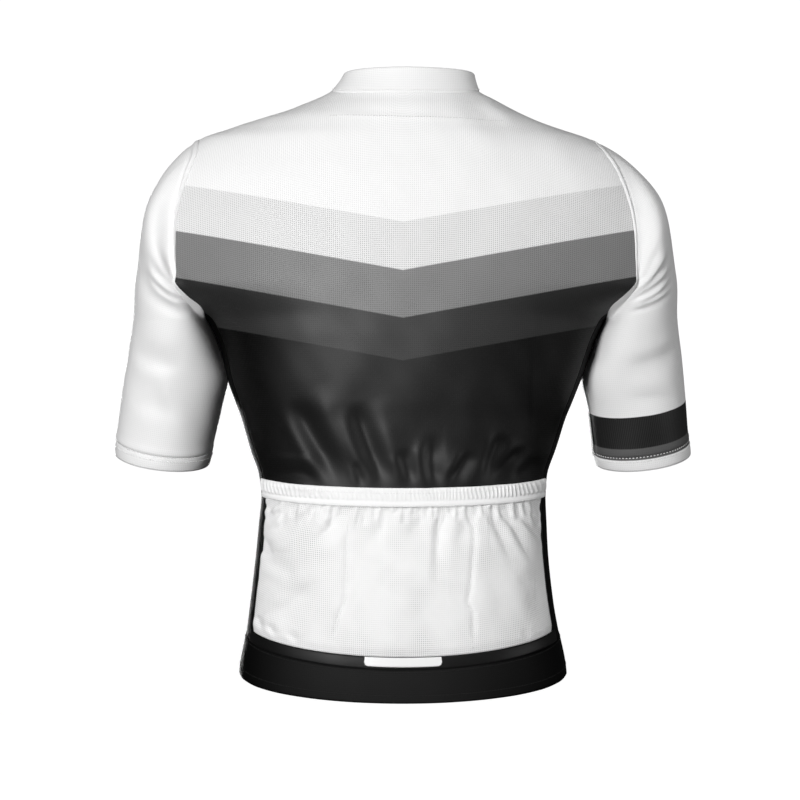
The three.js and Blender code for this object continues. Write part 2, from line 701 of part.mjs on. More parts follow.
// Panels
const back = bodyGrid(backPlaces());
addMesh("back_panel", clothWall(back, { insets: seams(1, 1, 1, 1) }), PRINT, CLOTH_ROUGHNESS);
for (const [label, side] of [["left", 1], ["right", -1]]) {
  const front = bodyGrid(frontPlaces(side));
  addMesh(`front_${label}`, clothWall(front, { insets: seams(1, 1, 1, 1) }), PRINT, CLOTH_ROUGHNESS);
  const panel = bodyGrid(sidePlaces(side));
  addMesh(`side_panel_${label}`, clothWall(panel, { insets: seams(1, 1, 1, 1) }), BLACK, CLOTH_ROUGHNESS);
}

// Sleeves and their hems
const SLEEVE_TURNS = [
  ...[...BACK_TURNS].reverse(), ...UNDERARM_TURNS.slice(1), ...FRONT_TURNS.slice(1, -1)];
const SLEEVE_BODY_STATIONS = [0, 0.06, 0.13, 0.21, 0.31, 0.41, 0.52, 0.63, 0.74, 0.85, CUFF_SEAM_STATION];
const CUFF_STATIONS = [CUFF_SEAM_STATION, 1];
for (const [label, side] of [["left", 1], ["right", -1]]) {
  const ring = (station) => SLEEVE_TURNS.map((turn) => sleeveSurface(side, station, turn));
  // The sleeve starts a seam's gap outside the side panel where the two fold together under the arm
  const shift = (r, c) => {
    const turn = SLEEVE_TURNS[c];
    const [angle, z] = armholePlace(turn);
    const away = smoothstep(Math.abs(turn), ...UNDERARM_SHIFT_TURNS) * (r === 0 ? 1 : 0);
    return bodyNormal(side > 0 ? angle : 180 - angle, z).multiplyScalar(away * SEAM_GAP);
  };
  addMesh(`sleeve_${label}`,
    clothWall(SLEEVE_BODY_STATIONS.map(ring), { insets: seams(1, 0, 1, 0), closed: true, shift }),
    WHITE, CLOTH_ROUGHNESS);
  addMesh(`sleeve_hem_${label}`,
    clothWall(CUFF_STATIONS.map(ring), { insets: seams(1, 0, 0, 0), closed: true, outerRaise: CUFF_RAISE,
      thickness: BAND_THICKNESS }),
    WHITE, CLOTH_ROUGHNESS);
}

// Collar, from the left zip edge round the back to the right one
const neckZipAngle = frontPlaces(1).at(-1)[0][0];
const COLLAR_ANGLES = [
  ...evenly(neckZipAngle, SHOULDER_SEAM, FRONT_COLUMNS),
  ...evenly(SHOULDER_SEAM, 180 - SHOULDER_SEAM, BACK_COLUMNS).slice(1),
  ...evenly(180 - SHOULDER_SEAM, 180 - neckZipAngle, FRONT_COLUMNS).slice(1),
];
const COLLAR_HEIGHTS = evenly(0, 1, COLLAR_ROWS);
const collar = COLLAR_HEIGHTS.map((height) => COLLAR_ANGLES.map((angle) => collarSurface(angle, height)));
addMesh("collar", clothWall(collar, { insets: seams(1, 1, 0, 1), thickness: BAND_THICKNESS }),
  WHITE, CLOTH_ROUGHNESS);

// Hem band, from the left zip edge round the back to the right one
const HEM_FRONT_MIDDLE_Z = -570;
function hemPlaces() {
  const columns = (t) => {
    const start = zipEdgeAngle(ZIP_OPENING_HALF_WIDTH, HEM_FRONT_MIDDLE_Z);
    return [
      ...evenly(start, SIDE_SEAM_FRONT, FRONT_COLUMNS),
      ...evenly(SIDE_SEAM_FRONT, SIDE_SEAM_BACK, SIDE_COLUMNS).slice(1),
      ...evenly(SIDE_SEAM_BACK, 180 - SIDE_SEAM_BACK, BACK_COLUMNS).slice(1),
      ...evenly(180 - SIDE_SEAM_BACK, 180 - SIDE_SEAM_FRONT, SIDE_COLUMNS).slice(1),
      ...evenly(180 - SIDE_SEAM_FRONT, 180 - start, FRONT_COLUMNS).slice(1),
    ].map((angle) => {
      const folded = foldedAngle(angle);
      return [angle, lerp(levelHeight("hem edge", folded), levelHeight("hem seam", folded), t)];
    });
  };
  return evenly(0, 1, HEM_ROWS).map(columns);
}
addMesh("hem_band",
  clothWall(bodyGrid(hemPlaces()),
    { insets: seams(0, 1, 1, 1), outerRaise: HEM_RAISE, thickness: BAND_THICKNESS }),
  BLACK, CLOTH_ROUGHNESS);

// Layers on the back panel, from its own columns
const RIPPLE_RISE = 0.35;
const RIPPLE_LENGTH = 9;
function layerGrid(firstRow, lastRow, firstColumn, lastColumn, folds) {
  return back.slice(firstRow, lastRow + 1).map((row) => row.slice(firstColumn, lastColumn + 1)
    .map(({ point, normal }) => {
      const ripple = RIPPLE_RISE * Math.abs(Math.sin(point.x / RIPPLE_LENGTH));
      const rise = Math.max(0, foldRise(folds, point.x, point.z) + ripple);
      return { point: point.clone().addScaledVector(normal, folds.length ? rise : 0), normal };
    }));
}
const TAPE_ROW = 0;
const POCKET_FIRST_ROW = 1;
const POCKET_LAST_ROW = POCKET_FIRST_ROW + POCKET_ROWS;
const BAND_LAST_ROW = POCKET_LAST_ROW + BAND_ROWS;
const STRIP_HALF_COLUMNS = 3;
const STRIP_FIRST_COLUMN = BACK_COLUMNS / 2 - STRIP_HALF_COLUMNS;
const STRIP_LAST_COLUMN = BACK_COLUMNS / 2 + STRIP_HALF_COLUMNS;
const STRIP_INSETS = { bottom: 3, right: 0, top: 1, left: 0 };
const onPanel = LAYER_GAP + LAYER_THICKNESS;
addMesh("pocket_bag",
  clothWall(layerGrid(POCKET_FIRST_ROW, POCKET_LAST_ROW, 0, BACK_COLUMNS, POCKET_FOLDS),
    { insets: seams(1, 1, 1, 1), outerRaise: onPanel, thickness: LAYER_THICKNESS }),
  WHITE, CLOTH_ROUGHNESS);
addMesh("pocket_band",
  clothWall(layerGrid(POCKET_LAST_ROW, BAND_LAST_ROW, 0, BACK_COLUMNS, []),
    { insets: seams(1, 1, 0, 1), outerRaise: LAYER_GAP + BAND_THICKNESS, thickness: BAND_THICKNESS }),
  WHITE, CLOTH_ROUGHNESS);
addMesh("satin_tape",
  clothWall(layerGrid(TAPE_ROW, POCKET_FIRST_ROW, 0, BACK_COLUMNS, []),
    { insets: seams(1, 1, 1, 1), outerRaise: onPanel, thickness: LAYER_THICKNESS }),
  SATIN, SATIN_ROUGHNESS);
addMesh("reflective_strip",
  clothWall(layerGrid(TAPE_ROW, POCKET_FIRST_ROW, STRIP_FIRST_COLUMN, STRIP_LAST_COLUMN, []),
    { insets: STRIP_INSETS, outerRaise: 2 * onPanel, thickness: LAYER_THICKNESS }),
  SILVER, SATIN_ROUGHNESS);

// Front zip: places up the middle of the front, over the hem band, the front and the collar
function zipGrid(innerX, outerX) {
  const bodyHeights = [
    ...evenly(0, 1, HEM_ROWS).slice(0, -1).map((t) => lerp(
      levelHeight("hem edge", FRONT_MIDDLE), levelHeight("hem seam", FRONT_MIDDLE), t)),
    ...frontPlaces(1).map((row) => row[0][1]),
  ];
  const rows = bodyHeights.slice(0, -1).map((z) => [innerX, outerX].map((x) => {
    const angle = zipEdgeAngle(x, z);
    const place = bodySurface(angle, z);
    return { point: new THREE.Vector3(x, place.point.y, z), normal: place.normal };
  }));
  for (const height of COLLAR_HEIGHTS) {
    rows.push([innerX, outerX].map((x) => {
      const side = x >= 0 ? 1 : -1;
      const edge = side > 0 ? neckZipAngle : -180 - neckZipAngle;
      const place = collarSurface(edge, height);
      return { point: new THREE.Vector3(x, place.point.y, place.point.z), normal: place.normal };
    }));
  }
  for (const row of rows) {
    for (const place of row) place.normal.setX(0).normalize();
  }
  return rows;
}
const tapeInsets = { bottom: 0, right: HALF_SEAM, top: 0, left: 0 };
for (const [label, side] of [["left", 1], ["right", -1]]) {
  addMesh(`zip_tape_${label}`,
    clothWall(zipGrid(side * ZIP_TAPE_INNER_X, side * ZIP_OPENING_HALF_WIDTH), { insets: tapeInsets }),
    BLACK, CLOTH_ROUGHNESS);
}

// Zip chain, ending under the slider's neck
const SLIDER_PLACE = 0.55;
const SLIDER_LENGTH = 9;
const chainGrid = zipGrid(-ZIP_CHAIN_HALF_WIDTH, ZIP_CHAIN_HALF_WIDTH).slice(0, -COLLAR_ROWS);
const zipMiddleAt = (height) => collarSurface(neckZipAngle, height).point.setX(0);
const zipUp = zipMiddleAt(1).sub(zipMiddleAt(0)).normalize();
const zipOut = new THREE.Vector3(0, -zipUp.z, zipUp.y);
const sliderMiddle = zipMiddleAt(SLIDER_PLACE);
const CHAIN_BELOW_SLIDER_TOP = 3;
const chainEnd = sliderMiddle.clone().addScaledVector(zipUp, SLIDER_LENGTH / 2 - CHAIN_BELOW_SLIDER_TOP);
chainGrid.push([-ZIP_CHAIN_HALF_WIDTH, ZIP_CHAIN_HALF_WIDTH].map((x) => (
  { point: chainEnd.clone().setX(x), normal: zipOut.clone() })));
addMesh("zip_chain",
  clothWall(chainGrid, { insets: seams(0, 0, 0, 0), outerRaise: ZIP_CHAIN_RAISE,
    thickness: ZIP_CHAIN_THICKNESS }),
  BLACK, SATIN_ROUGHNESS);

// Slider and pull tab, in the zip's own directions: along (up the zip) and out (away from the wearer)
function prism(outline, x0, x1, hole = []) {
  const contour = outline.map(([along, out]) => new THREE.Vector2(along, out));
  const holes = hole.length ? [hole.map(([along, out]) => new THREE.Vector2(along, out))] : [];
  const caps = THREE.ShapeUtils.triangulateShape(contour, holes);
  const rings = [contour, ...holes];
  const flat = rings.flat();
  const positions = [];
  for (const x of [x0, x1]) {
    for (const p of flat) positions.push(x, p.x, p.y);
  }
  const count = flat.length;
  const faces = [];
  for (const [a, b, c] of caps) {
    faces.push(a, c, b, a + count, b + count, c + count);
  }
  let start = 0;
  rings.forEach((ring, which) => {
    const area = THREE.ShapeUtils.area(ring);
    const outwards = which === 0 ? area > 0 : area < 0;
    for (let i = 0; i < ring.length; i += 1) {
      const a = start + i;
      const b = start + ((i + 1) % ring.length);
      if (outwards) faces.push(a, b, b + count, a, b + count, a + count);
      else faces.push(b, a, a + count, b, a + count, b + count);
    }
    start += ring.length;
  });
  return { positions, faces };
}

function toSolid({ positions, faces }) {
  const geometry = orientedGeometry(positions, faces);
  const mesh = new wasm.Mesh({ numProp: 3,
    vertProperties: new Float32Array(geometry.getAttribute("position").array),
    triVerts: new Uint32Array(geometry.getIndex().array) });
  mesh.merge();
  return new wasm.Manifold(mesh);
}

function solidGeometry(solid, toWorld) {
  const mesh = solid.getMesh();
  const geometry = new THREE.BufferGeometry();
  geometry.setAttribute("position", new THREE.Float32BufferAttribute(Array.from(mesh.vertProperties), 3));
  geometry.setIndex(Array.from(mesh.triVerts));
  geometry.applyMatrix4(toWorld);
  geometry.computeVertexNormals();
  return geometry;
}

function plateOutline(x0, x1, y0, y1, chamfer) {
  return [[x0 + chamfer, y0], [x1 - chamfer, y0], [x1, y0 + chamfer], [x1, y1 - chamfer],
    [x1 - chamfer, y1], [x0 + chamfer, y1], [x0, y1 - chamfer], [x0, y0 + chamfer]];
}

function circleOutline(alongMiddle, outMiddle, radius, sides) {
  return evenly(0, 360, sides).slice(0, -1).map((angle) => [
    alongMiddle + radius * Math.cos(radians(angle)), outMiddle + radius * Math.sin(radians(angle))]);
}

const SLIDER_HALF_WIDTH = 4;
const SLIDER_PLATE = 1.2;
const SLIDER_CLEARANCE = 0.5;
const SLIDER_NECK_HALF_WIDTH = 2;
const SLIDER_NECK_LENGTH = 2;
const BAIL_POST_INNER_X = 2.2;
const BAIL_POST_OUTER_X = 3.2;
const BAIL_BAR_RADIUS = 0.8;
const BAIL_BAR_RISE = 2.6;
const topPlateLow = ZIP_CHAIN_RAISE + SLIDER_CLEARANCE;
const topPlateHigh = topPlateLow + SLIDER_PLATE;
const lowPlateHigh = ZIP_CHAIN_RAISE - ZIP_CHAIN_THICKNESS - SLIDER_CLEARANCE;
const lowPlateLow = lowPlateHigh - SLIDER_PLATE;
const barOut = topPlateHigh + BAIL_BAR_RISE;
const halfSlider = SLIDER_LENGTH / 2;
const PLATE_CHAMFER = 0.25;
const NECK_CHAMFER = 0.1;
const NECK_SET_BACK = 0.3;
const JOIN_DEPTH = 0.5;
const POST_FOOT_HALF = 2.2;
const POST_SHOULDER_HALF = 0.9;
const POST_TOP_HALF = 0.4;
const topPlate = toSolid(prism(
  plateOutline(-halfSlider, halfSlider, topPlateLow, topPlateHigh, PLATE_CHAMFER),
  -SLIDER_HALF_WIDTH, SLIDER_HALF_WIDTH));
const lowPlate = toSolid(prism(
  plateOutline(-halfSlider, halfSlider, lowPlateLow, lowPlateHigh, PLATE_CHAMFER),
  -SLIDER_HALF_WIDTH, SLIDER_HALF_WIDTH));
const neck = toSolid(prism(plateOutline(halfSlider - SLIDER_NECK_LENGTH, halfSlider - NECK_SET_BACK,
  lowPlateHigh - JOIN_DEPTH, topPlateLow + JOIN_DEPTH, NECK_CHAMFER),
  -SLIDER_NECK_HALF_WIDTH, SLIDER_NECK_HALF_WIDTH));
const postOutline = [
  [-POST_FOOT_HALF, topPlateHigh - JOIN_DEPTH], [POST_FOOT_HALF, topPlateHigh - JOIN_DEPTH],
  [POST_SHOULDER_HALF, barOut + JOIN_DEPTH], [POST_TOP_HALF, barOut + BAIL_BAR_RADIUS],
  [-POST_TOP_HALF, barOut + BAIL_BAR_RADIUS], [-POST_SHOULDER_HALF, barOut + JOIN_DEPTH]];
const posts = [1, -1].map((side) => toSolid(prism(postOutline,
  side > 0 ? BAIL_POST_INNER_X : -BAIL_POST_OUTER_X, side > 0 ? BAIL_POST_OUTER_X : -BAIL_POST_INNER_X)));
const bar = toSolid(prism(circleOutline(0, barOut, BAIL_BAR_RADIUS, 12),
  -BAIL_POST_INNER_X - JOIN_DEPTH, BAIL_POST_INNER_X + JOIN_DEPTH));
const slider = topPlate.add(lowPlate).add(neck).add(posts[0]).add(posts[1]).add(bar);
const zipFrame = new THREE.Matrix4().makeBasis(new THREE.Vector3(1, 0, 0), zipUp, zipOut)
  .setPosition(sliderMiddle);
addMesh("zip_slider", solidGeometry(slider, zipFrame), SILVER, METAL_ROUGHNESS, 0.9);

// Pull tab: an eye round the bar and a tapered plate hanging down the zip
const EYE_INNER_RADIUS = 1.2;
const EYE_OUTER_RADIUS = 2.0;
const EYE_HALF_WIDTH = 1.7;
const TAB_THICKNESS = 1.2;
const TAB_LENGTH = 22;
const TAB_HALF_WIDTH = 3.2;
const TAB_NECK_HALF_WIDTH = 1.5;
const eye = toSolid(prism(circleOutline(0, barOut, EYE_OUTER_RADIUS, 16), -EYE_HALF_WIDTH, EYE_HALF_WIDTH,
  circleOutline(0, barOut, EYE_INNER_RADIUS, 16)));
const tabSide = [[-1.5, TAB_NECK_HALF_WIDTH], [-4, TAB_NECK_HALF_WIDTH], [-7, TAB_HALF_WIDTH - 0.5],
  [-TAB_LENGTH + 3, TAB_HALF_WIDTH], [-TAB_LENGTH + 0.8, TAB_HALF_WIDTH - 1.1],
  [-TAB_LENGTH, TAB_HALF_WIDTH - 2.3]];
const tabOutline = [...tabSide, ...tabSide.map(([along, x]) => [along, -x]).reverse()];
const tabSlot = plateOutline(-TAB_LENGTH + 3.5, -TAB_LENGTH + 9, -1.4, 1.4, 0.6);
const tabPlate = prism(tabOutline.map(([along, x]) => [along, x]), -TAB_THICKNESS / 2, TAB_THICKNESS / 2,
  tabSlot);
const laidPositions = [];
for (let i = 0; i < tabPlate.positions.length; i += 3) {
  const [out, along, x] = tabPlate.positions.slice(i, i + 3);
  laidPositions.push(x, along, barOut + out);
}
const tab = eye.add(toSolid({ positions: laidPositions, faces: tabPlate.faces }));
addMesh("zip_pull_tab", solidGeometry(tab, zipFrame), SILVER, METAL_ROUGHNESS, 0.9);

export default group;
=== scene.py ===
# %% [markdown]
# # Short-sleeved cycling jersey
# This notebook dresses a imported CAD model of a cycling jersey, seen from behind and filled out as if worn.
# The CAD part has the true size, the panels and the zip. Here each cloth panel becomes a finer sheet with
# its creases, sewing and knit, in the same place and the same frame, so that both models fit each other.

# %% Open the shared frame
import math

import bpy
import numpy as np
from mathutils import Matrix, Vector


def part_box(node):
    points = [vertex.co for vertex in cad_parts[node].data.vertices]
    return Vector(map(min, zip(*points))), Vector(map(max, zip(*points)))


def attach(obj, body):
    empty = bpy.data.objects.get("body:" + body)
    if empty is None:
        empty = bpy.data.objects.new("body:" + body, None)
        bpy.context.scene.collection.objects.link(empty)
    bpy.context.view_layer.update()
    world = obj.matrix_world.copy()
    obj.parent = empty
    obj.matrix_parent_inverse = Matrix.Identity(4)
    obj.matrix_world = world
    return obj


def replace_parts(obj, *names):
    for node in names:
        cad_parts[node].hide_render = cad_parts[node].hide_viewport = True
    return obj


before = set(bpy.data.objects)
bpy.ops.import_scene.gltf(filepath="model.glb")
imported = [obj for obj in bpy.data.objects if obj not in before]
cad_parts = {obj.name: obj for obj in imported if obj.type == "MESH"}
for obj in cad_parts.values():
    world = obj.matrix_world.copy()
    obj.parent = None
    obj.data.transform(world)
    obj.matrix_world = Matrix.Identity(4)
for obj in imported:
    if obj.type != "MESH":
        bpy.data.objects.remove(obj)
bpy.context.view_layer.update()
MM = 0.001
print("CAD nodes:", len(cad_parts))

# %% [markdown]
# ## Curves through tables
# A tailor's body measurements are a short table of levels. Between two levels the body changes smoothly, so
# a monotone cubic curve is drawn through each column. It never overshoots a row, which keeps waist and
# chest free of bumps that nobody measured.

# %% Curve through a table column
def table_curve(rows, key, value):
    """Smooth curve through one column of a table, without overshoot."""
    rows = sorted(rows, key=lambda row: row[key])
    keys = np.array([row[key] for row in rows], float)
    values = np.array([row[value] for row in rows], float)
    slopes = np.diff(values) / np.diff(keys)
    tangents = np.zeros(len(keys))
    tangents[0], tangents[-1] = slopes[0], slopes[-1]
    for i in range(1, len(keys) - 1):
        product = slopes[i - 1] * slopes[i]
        if product > 0:
            tangents[i] = 2 * product / (slopes[i - 1] + slopes[i])

    def curve(at):
        at = np.clip(at, keys[0], keys[-1])
        i = np.clip(np.searchsorted(keys, at, side="right") - 1, 0, len(keys) - 2)
        span = keys[i + 1] - keys[i]
        t = (at - keys[i]) / span
        return ((2 * t**3 - 3 * t**2 + 1) * values[i] + (t**3 - 2 * t**2 + t) * span * tangents[i]
                + (3 * t**2 - 2 * t**3) * values[i + 1] + (t**3 - t**2) * span * tangents[i + 1])
    return curve


def smoothstep(x, low, high):
    t = np.clip((x - low) / (high - low), 0, 1)
    return t * t * (3 - 2 * t)


def mix(a, b, share):
    return a + (b - a) * share


def unit(vectors):
    return vectors / np.maximum(np.linalg.norm(vectors, axis=-1, keepdims=True), 1e-9)

# %% [markdown]
# ## The body the jersey is filled out by
# Each row is one level section of the body: how far it reaches to the wearer's left and right, to the back
# and to the front, and how square the oval is. The same numbers drive the CAD part, in millimetres.

# %% Levels of the body
def table(columns, rows):
    """Rows of numbers with a name for each column."""
    return [dict(zip(columns.split(), row)) for row in rows]


BODY = table("z left right back front roundness", [
    (-640, 174, 174, 113, 106, 2.3),
    (-607, 171, 171, 113, 107, 2.3),
    (-575, 165.5, 165, 112, 108, 2.3),
    (-533, 160, 157.5, 109, 108, 2.3),
    (-481, 154, 152, 105, 105, 2.3),
    (-450, 151, 150.5, 103, 103, 2.3),
    (-423, 148.5, 149.5, 103, 102, 2.3),
    (-402, 151, 151, 105, 103, 2.3),
    (-376, 159, 159.5, 108, 104, 2.3),
    (-344, 168.5, 170, 112, 106, 2.3),
    (-323, 176.5, 178.5, 116, 109, 2.3),
    (-302, 183.5, 187, 119, 112, 2.3),
    (-269, 191.5, 198, 122, 115, 2.3),
    (-252, 198.5, 205, 123, 117, 2.3),
    (-238, 206.5, 213, 123, 118, 2.3),
    (-200, 278, 284.5, 123, 118, 2.3),
    (-176, 278, 284, 121, 117, 2.3),
    (-155, 276, 281, 118, 114, 2.3),
    (-134, 272, 275.5, 114, 109, 2.3),
    (-113, 265, 268, 108, 103, 2.25),
    (-92, 255, 256, 101, 96, 2.2),
    (-71, 239, 236, 92, 88, 2.15),
    (-50, 213, 196, 83, 80, 2.1),
    (-40, 185, 167, 78, 75, 2.05),
    (-29, 153, 138, 73, 69, 2.05),
    (-19, 120, 116, 68, 64, 2.0),
    (-8, 92, 96, 61, 60, 2.0),
    (1, 75, 80, 58, 57, 2.0),
    (6, 71, 77, 57, 56, 2.0),
])
body_left, body_right, body_back, body_front, body_roundness = (
    table_curve(BODY, "z", column) for column in ("left", "right", "back", "front", "roundness"))


def oval(angle, left, right, back, front, roundness):
    c, s = np.cos(np.radians(angle)), np.sin(np.radians(angle))
    reach = (np.abs(c) ** roundness + np.abs(s) ** roundness) ** (-1 / roundness)
    return c * reach * np.where(c >= 0, left, right), s * reach * np.where(s >= 0, back, front)


def body_point(angle, z):
    """Place on the body: angle 0 is the wearer's left side, 90 the middle of the back."""
    angle, z = np.broadcast_arrays(np.asarray(angle, float), np.asarray(z, float))
    x, y = oval(angle, body_left(z), body_right(z), body_back(z), body_front(z), body_roundness(z))
    return np.stack([x, y, z], axis=-1)


def body_normal(angle, z):
    step = 0.5
    around = body_point(angle + step, z) - body_point(angle - step, z)
    upwards = body_point(angle, z + step) - body_point(angle, z - step)
    return unit(np.cross(around, upwards))


print("chest breadth mm:", round(float(body_left(-200) + body_right(-200))))

# %% [markdown]
# ## Seam lines
# A jersey is cut along its seams, so these lines decide where every panel ends: the hem, the pocket's foot,
# the elastic band, the armholes and the neck. Heights are given at the back, side and front.

# %% Lines of the seams
SEAM_LEVELS = {level["name"]: level for level in table("name back side front turn", [
    ("hem edge", -630, -605, -586, 1.1),
    ("hem seam", -596, -566, -551, 1.5),
    ("pocket foot", -583, -553, -538, 1.3),
    ("band foot", -432, -420, -418, 1.1),
    ("band top", -412, -400, -398, 1.1),
])}
ARMHOLE = table("turn back front", [
    (0, 0, 0), (20, 18, -18), (40, 29, -29), (65, 33.5, -35), (90, 35.5, -38.5), (112, 36.5, -40.5),
    (130, 36.5, -39.5), (147, 30, -34), (160, 20, -26), (180, 0, 0)])
NECK = table("angle z", [
    (-90, -68), (-80, -54), (-67, -30), (-38, -8), (0, 1), (35, -3.5), (60, -6), (90, -7)])
COLLAR_RIM = table("angle z", [(-90, -39), (-45, -8), (0, 18.5), (50, 21), (90, 21.5)])
SIDE_SEAM_BACK, SIDE_SEAM_FRONT, SHOULDER_SEAM = 20, -26, -6
ARMHOLE_TOP, ARMHOLE_FOOT, UNDERARM_TURN = -50, -238, 160
armhole_back = table_curve(ARMHOLE, "turn", "back")
armhole_front = table_curve(ARMHOLE, "turn", "front")
neck_height = table_curve(NECK, "angle", "z")
collar_rim = table_curve(COLLAR_RIM, "angle", "z")


def folded(angle):
    """The same angle on the wearer's left half, where the seam tables are given."""
    return np.where(angle > 90, 180 - angle, angle)


def level_height(name, angle):
    """Height of a level seam at an angle round the body."""
    level = SEAM_LEVELS[name]
    s = np.sin(np.radians(angle))
    return mix(level["side"], np.where(s >= 0, level["back"], level["front"]), np.abs(s) ** level["turn"])


def armhole_place(turn):
    """Angle and height of the armhole seam: turn 0 is its top, 90 the back, 180 under the arm."""
    turn = np.asarray(turn, float)
    angle = np.where(turn >= 0, armhole_back(np.abs(turn)), armhole_front(np.abs(turn)))
    return angle, mix(ARMHOLE_TOP, ARMHOLE_FOOT, (1 - np.cos(np.radians(turn))) / 2)


UNDERARM_Z = float(armhole_place(UNDERARM_TURN)[1])
print("armhole seam from", ARMHOLE_TOP, "to", ARMHOLE_FOOT, "mm; side seam ends at", round(UNDERARM_Z))

# %% [markdown]
# ## Folds placed by hand
# Tight knit creases where the body bends: above the elastic band and from the armpit. Each row is one fold,
# with x to the wearer's left: where it starts, where it bends, where it ends, its width, and how far it
# rises (or sinks, below 0). One side of a fold is softer than the other, as in real cloth. A simulation
# would give folds too, but not these ones in these places.

# %% Folds as soft ridges and troughs
FOLD_COLUMNS = "x0 z0 x1 z1 x2 z2 width rise"
FOLD_REACH, SOFT_SIDE, FOLD_PLACES = 4, 1.7, 13
WAIST_FOLDS = [
    (112, -326, 91, -366, 62, -412, 7, -4.2),
    (49, -329, 37, -366, 18, -410, 6.5, -5.0),
    (49, -386, 45, -398, 41, -412, 3.5, -1.6),
    (134, -405, 108, -399, 80, -409, 5, -2.8),
    (3, -374, -3, -390, -9, -410, 5, -3.0),
    (-34, -360, -28, -390, -40, -412, 6, -4.0),
    (-68, -376, -59, -392, -49, -410, 4.5, -3.4),
    (-100, -358, -93, -380, -85, -410, 5.5, -3.4),
    (-122, -372, -107, -388, -91, -410, 5, -3.0),
    (-140, -384, -128, -393, -112, -405, 5, -1.8),
    (-60, -300, -74, -340, -66, -384, 14, 1.8),
    (84, -310, 66, -352, 40, -398, 12, 1.8),
    (20, -340, 10, -372, 2, -408, 11, 1.4),
]
SHOULDER_FOLDS = [
    (-80, -14, -97, -24, -116, -36, 5, 1.3),
    (-60, -16, -90, -38, -128, -58, 10, -1.2),
    (74, -30, 10, -33, -90, -36, 1.6, 0.5),
    (150, -62, 172, -84, 188, -112, 13, 1.0),
    (-140, -58, -166, -84, -184, -118, 13, 1.2),
]
ARMPIT_FOLDS = [
    (-227, -219, -255, -194, -270, -166, 3.0, 3.4),
    (-228, -221, -257, -203, -274, -182, 2.6, 3.2),
    (-229, -224, -258, -212, -275, -193, 2.5, 2.8),
    (-230, -228, -257, -220, -276, -205, 2.5, 2.4),
    (-226, -215, -244, -192, -258, -158, 3.6, 1.8),
    (215, -220, 241, -196, 254, -160, 4.4, 3.2),
    (217, -223, 247, -205, 263, -180, 3.2, 3.0),
    (219, -227, 247, -216, 263, -196, 2.8, 2.4),
    (-290, -268, -262, -282, -226, -290, 7, -1.6),
    (-292, -330, -264, -322, -232, -326, 8, -1.2),
    (286, -270, 258, -282, 226, -288, 7, -1.6),
    (292, -322, 262, -330, 224, -342, 8, -1.3),
    (250, -296, 238, -330, 226, -368, 7, 1.2),
]
FRONT_FOLDS = [
    (96, -324, 78, -366, 52, -414, 8, -3.0),
    (40, -346, 32, -380, 26, -414, 6, -2.2),
    (-98, -332, -82, -372, -60, -412, 8, -3.0),
    (-36, -354, -30, -384, -28, -414, 6, -2.0),
    (214, -221, 232, -192, 252, -164, 3.4, 2.0),
    (216, -225, 238, -203, 260, -184, 3.2, 1.7),
    (-226, -219, -245, -190, -266, -164, 3.4, 2.0),
    (-227, -224, -249, -203, -271, -186, 3.2, 1.7),
]


def fold_relief(folds, x, z):
    """Height of the folds, in millimetres, over places x, z."""
    relief = np.zeros(np.shape(x))
    t = np.linspace(0, 1, FOLD_PLACES)
    for f in table(FOLD_COLUMNS, folds):
        reach = FOLD_REACH * f["width"]
        xs, zs = (f["x0"], f["x1"], f["x2"]), (f["z0"], f["z1"], f["z2"])
        near = (x > min(xs) - reach) & (x < max(xs) + reach) & (z > min(zs) - reach) & (z < max(zs) + reach)
        if not near.any():
            continue
        path_x, path_z = (
            (1 - t) ** 2 * start + 2 * t * (1 - t) * (2 * bend - (start + end) / 2) + t**2 * end
            for start, bend, end in (xs, zs))
        px, pz = x[near], z[near]
        best = np.full(px.shape, 1e9)
        place, side = np.zeros(px.shape), np.zeros(px.shape)
        for k in range(len(t) - 1):
            ax, az = path_x[k + 1] - path_x[k], path_z[k + 1] - path_z[k]
            share = ((px - path_x[k]) * ax + (pz - path_z[k]) * az) / (ax * ax + az * az)
            held = np.clip(share, -0.6 if k == 0 else 0, 1.6 if k == len(t) - 2 else 1)
            dx, dz = px - path_x[k] - held * ax, pz - path_z[k] - held * az
            distance = np.hypot(dx, dz)
            closer = distance < best
            best = np.where(closer, distance, best)
            place = np.where(closer, (k + held) / (len(t) - 1), place)
            side = np.where(closer, np.sign(ax * dz - az * dx), side)
        width = f["width"] * np.where(side > 0, 1.0, SOFT_SIDE)
        ends = smoothstep(place, -0.08, 0.3) * (1 - smoothstep(place, 0.62, 1.08))
        crest = np.exp(-(best / width) ** 2) - 0.35 * np.exp(-((best - 2.1 * width) / width) ** 2)
        relief[near] += f["rise"] * crest * ends
    return relief


def drape(x, z):
    """Slow unevenness that no knit is free of."""
    return (0.45 * np.sin(x / 23 + 1.3) * np.sin(z / 31 + 0.4) + 0.25 * np.sin(x / 11 + z / 19)
            + 0.12 * np.sin(x / 6.1 - z / 9.3 + 2))


CALM_DEPTH, FOLDED_DEPTH = 5, 35
STILL_BELOW, LOOSE_ABOVE = -412, -380


def side_folds(behind, before, x, y, z):
    """Height of the folds behind or in front, which fade out towards the sides."""
    relief = np.where(y > 0, fold_relief(behind, x, z), fold_relief(before, x, z))
    return relief * smoothstep(np.abs(y), CALM_DEPTH, FOLDED_DEPTH)


def body_surface(angle, z):
    """Outer face of the cloth on the body, with its folds, and the direction outwards."""
    point, normal = body_point(angle, z), body_normal(angle, z)
    x, y, height = point[..., 0], point[..., 1], point[..., 2]
    relief = side_folds(WAIST_FOLDS + SHOULDER_FOLDS + ARMPIT_FOLDS, FRONT_FOLDS, x, y, height)
    loose = smoothstep(height, STILL_BELOW, LOOSE_ABOVE)
    return point + normal * (relief + drape(x, height) * loose)[..., None], normal


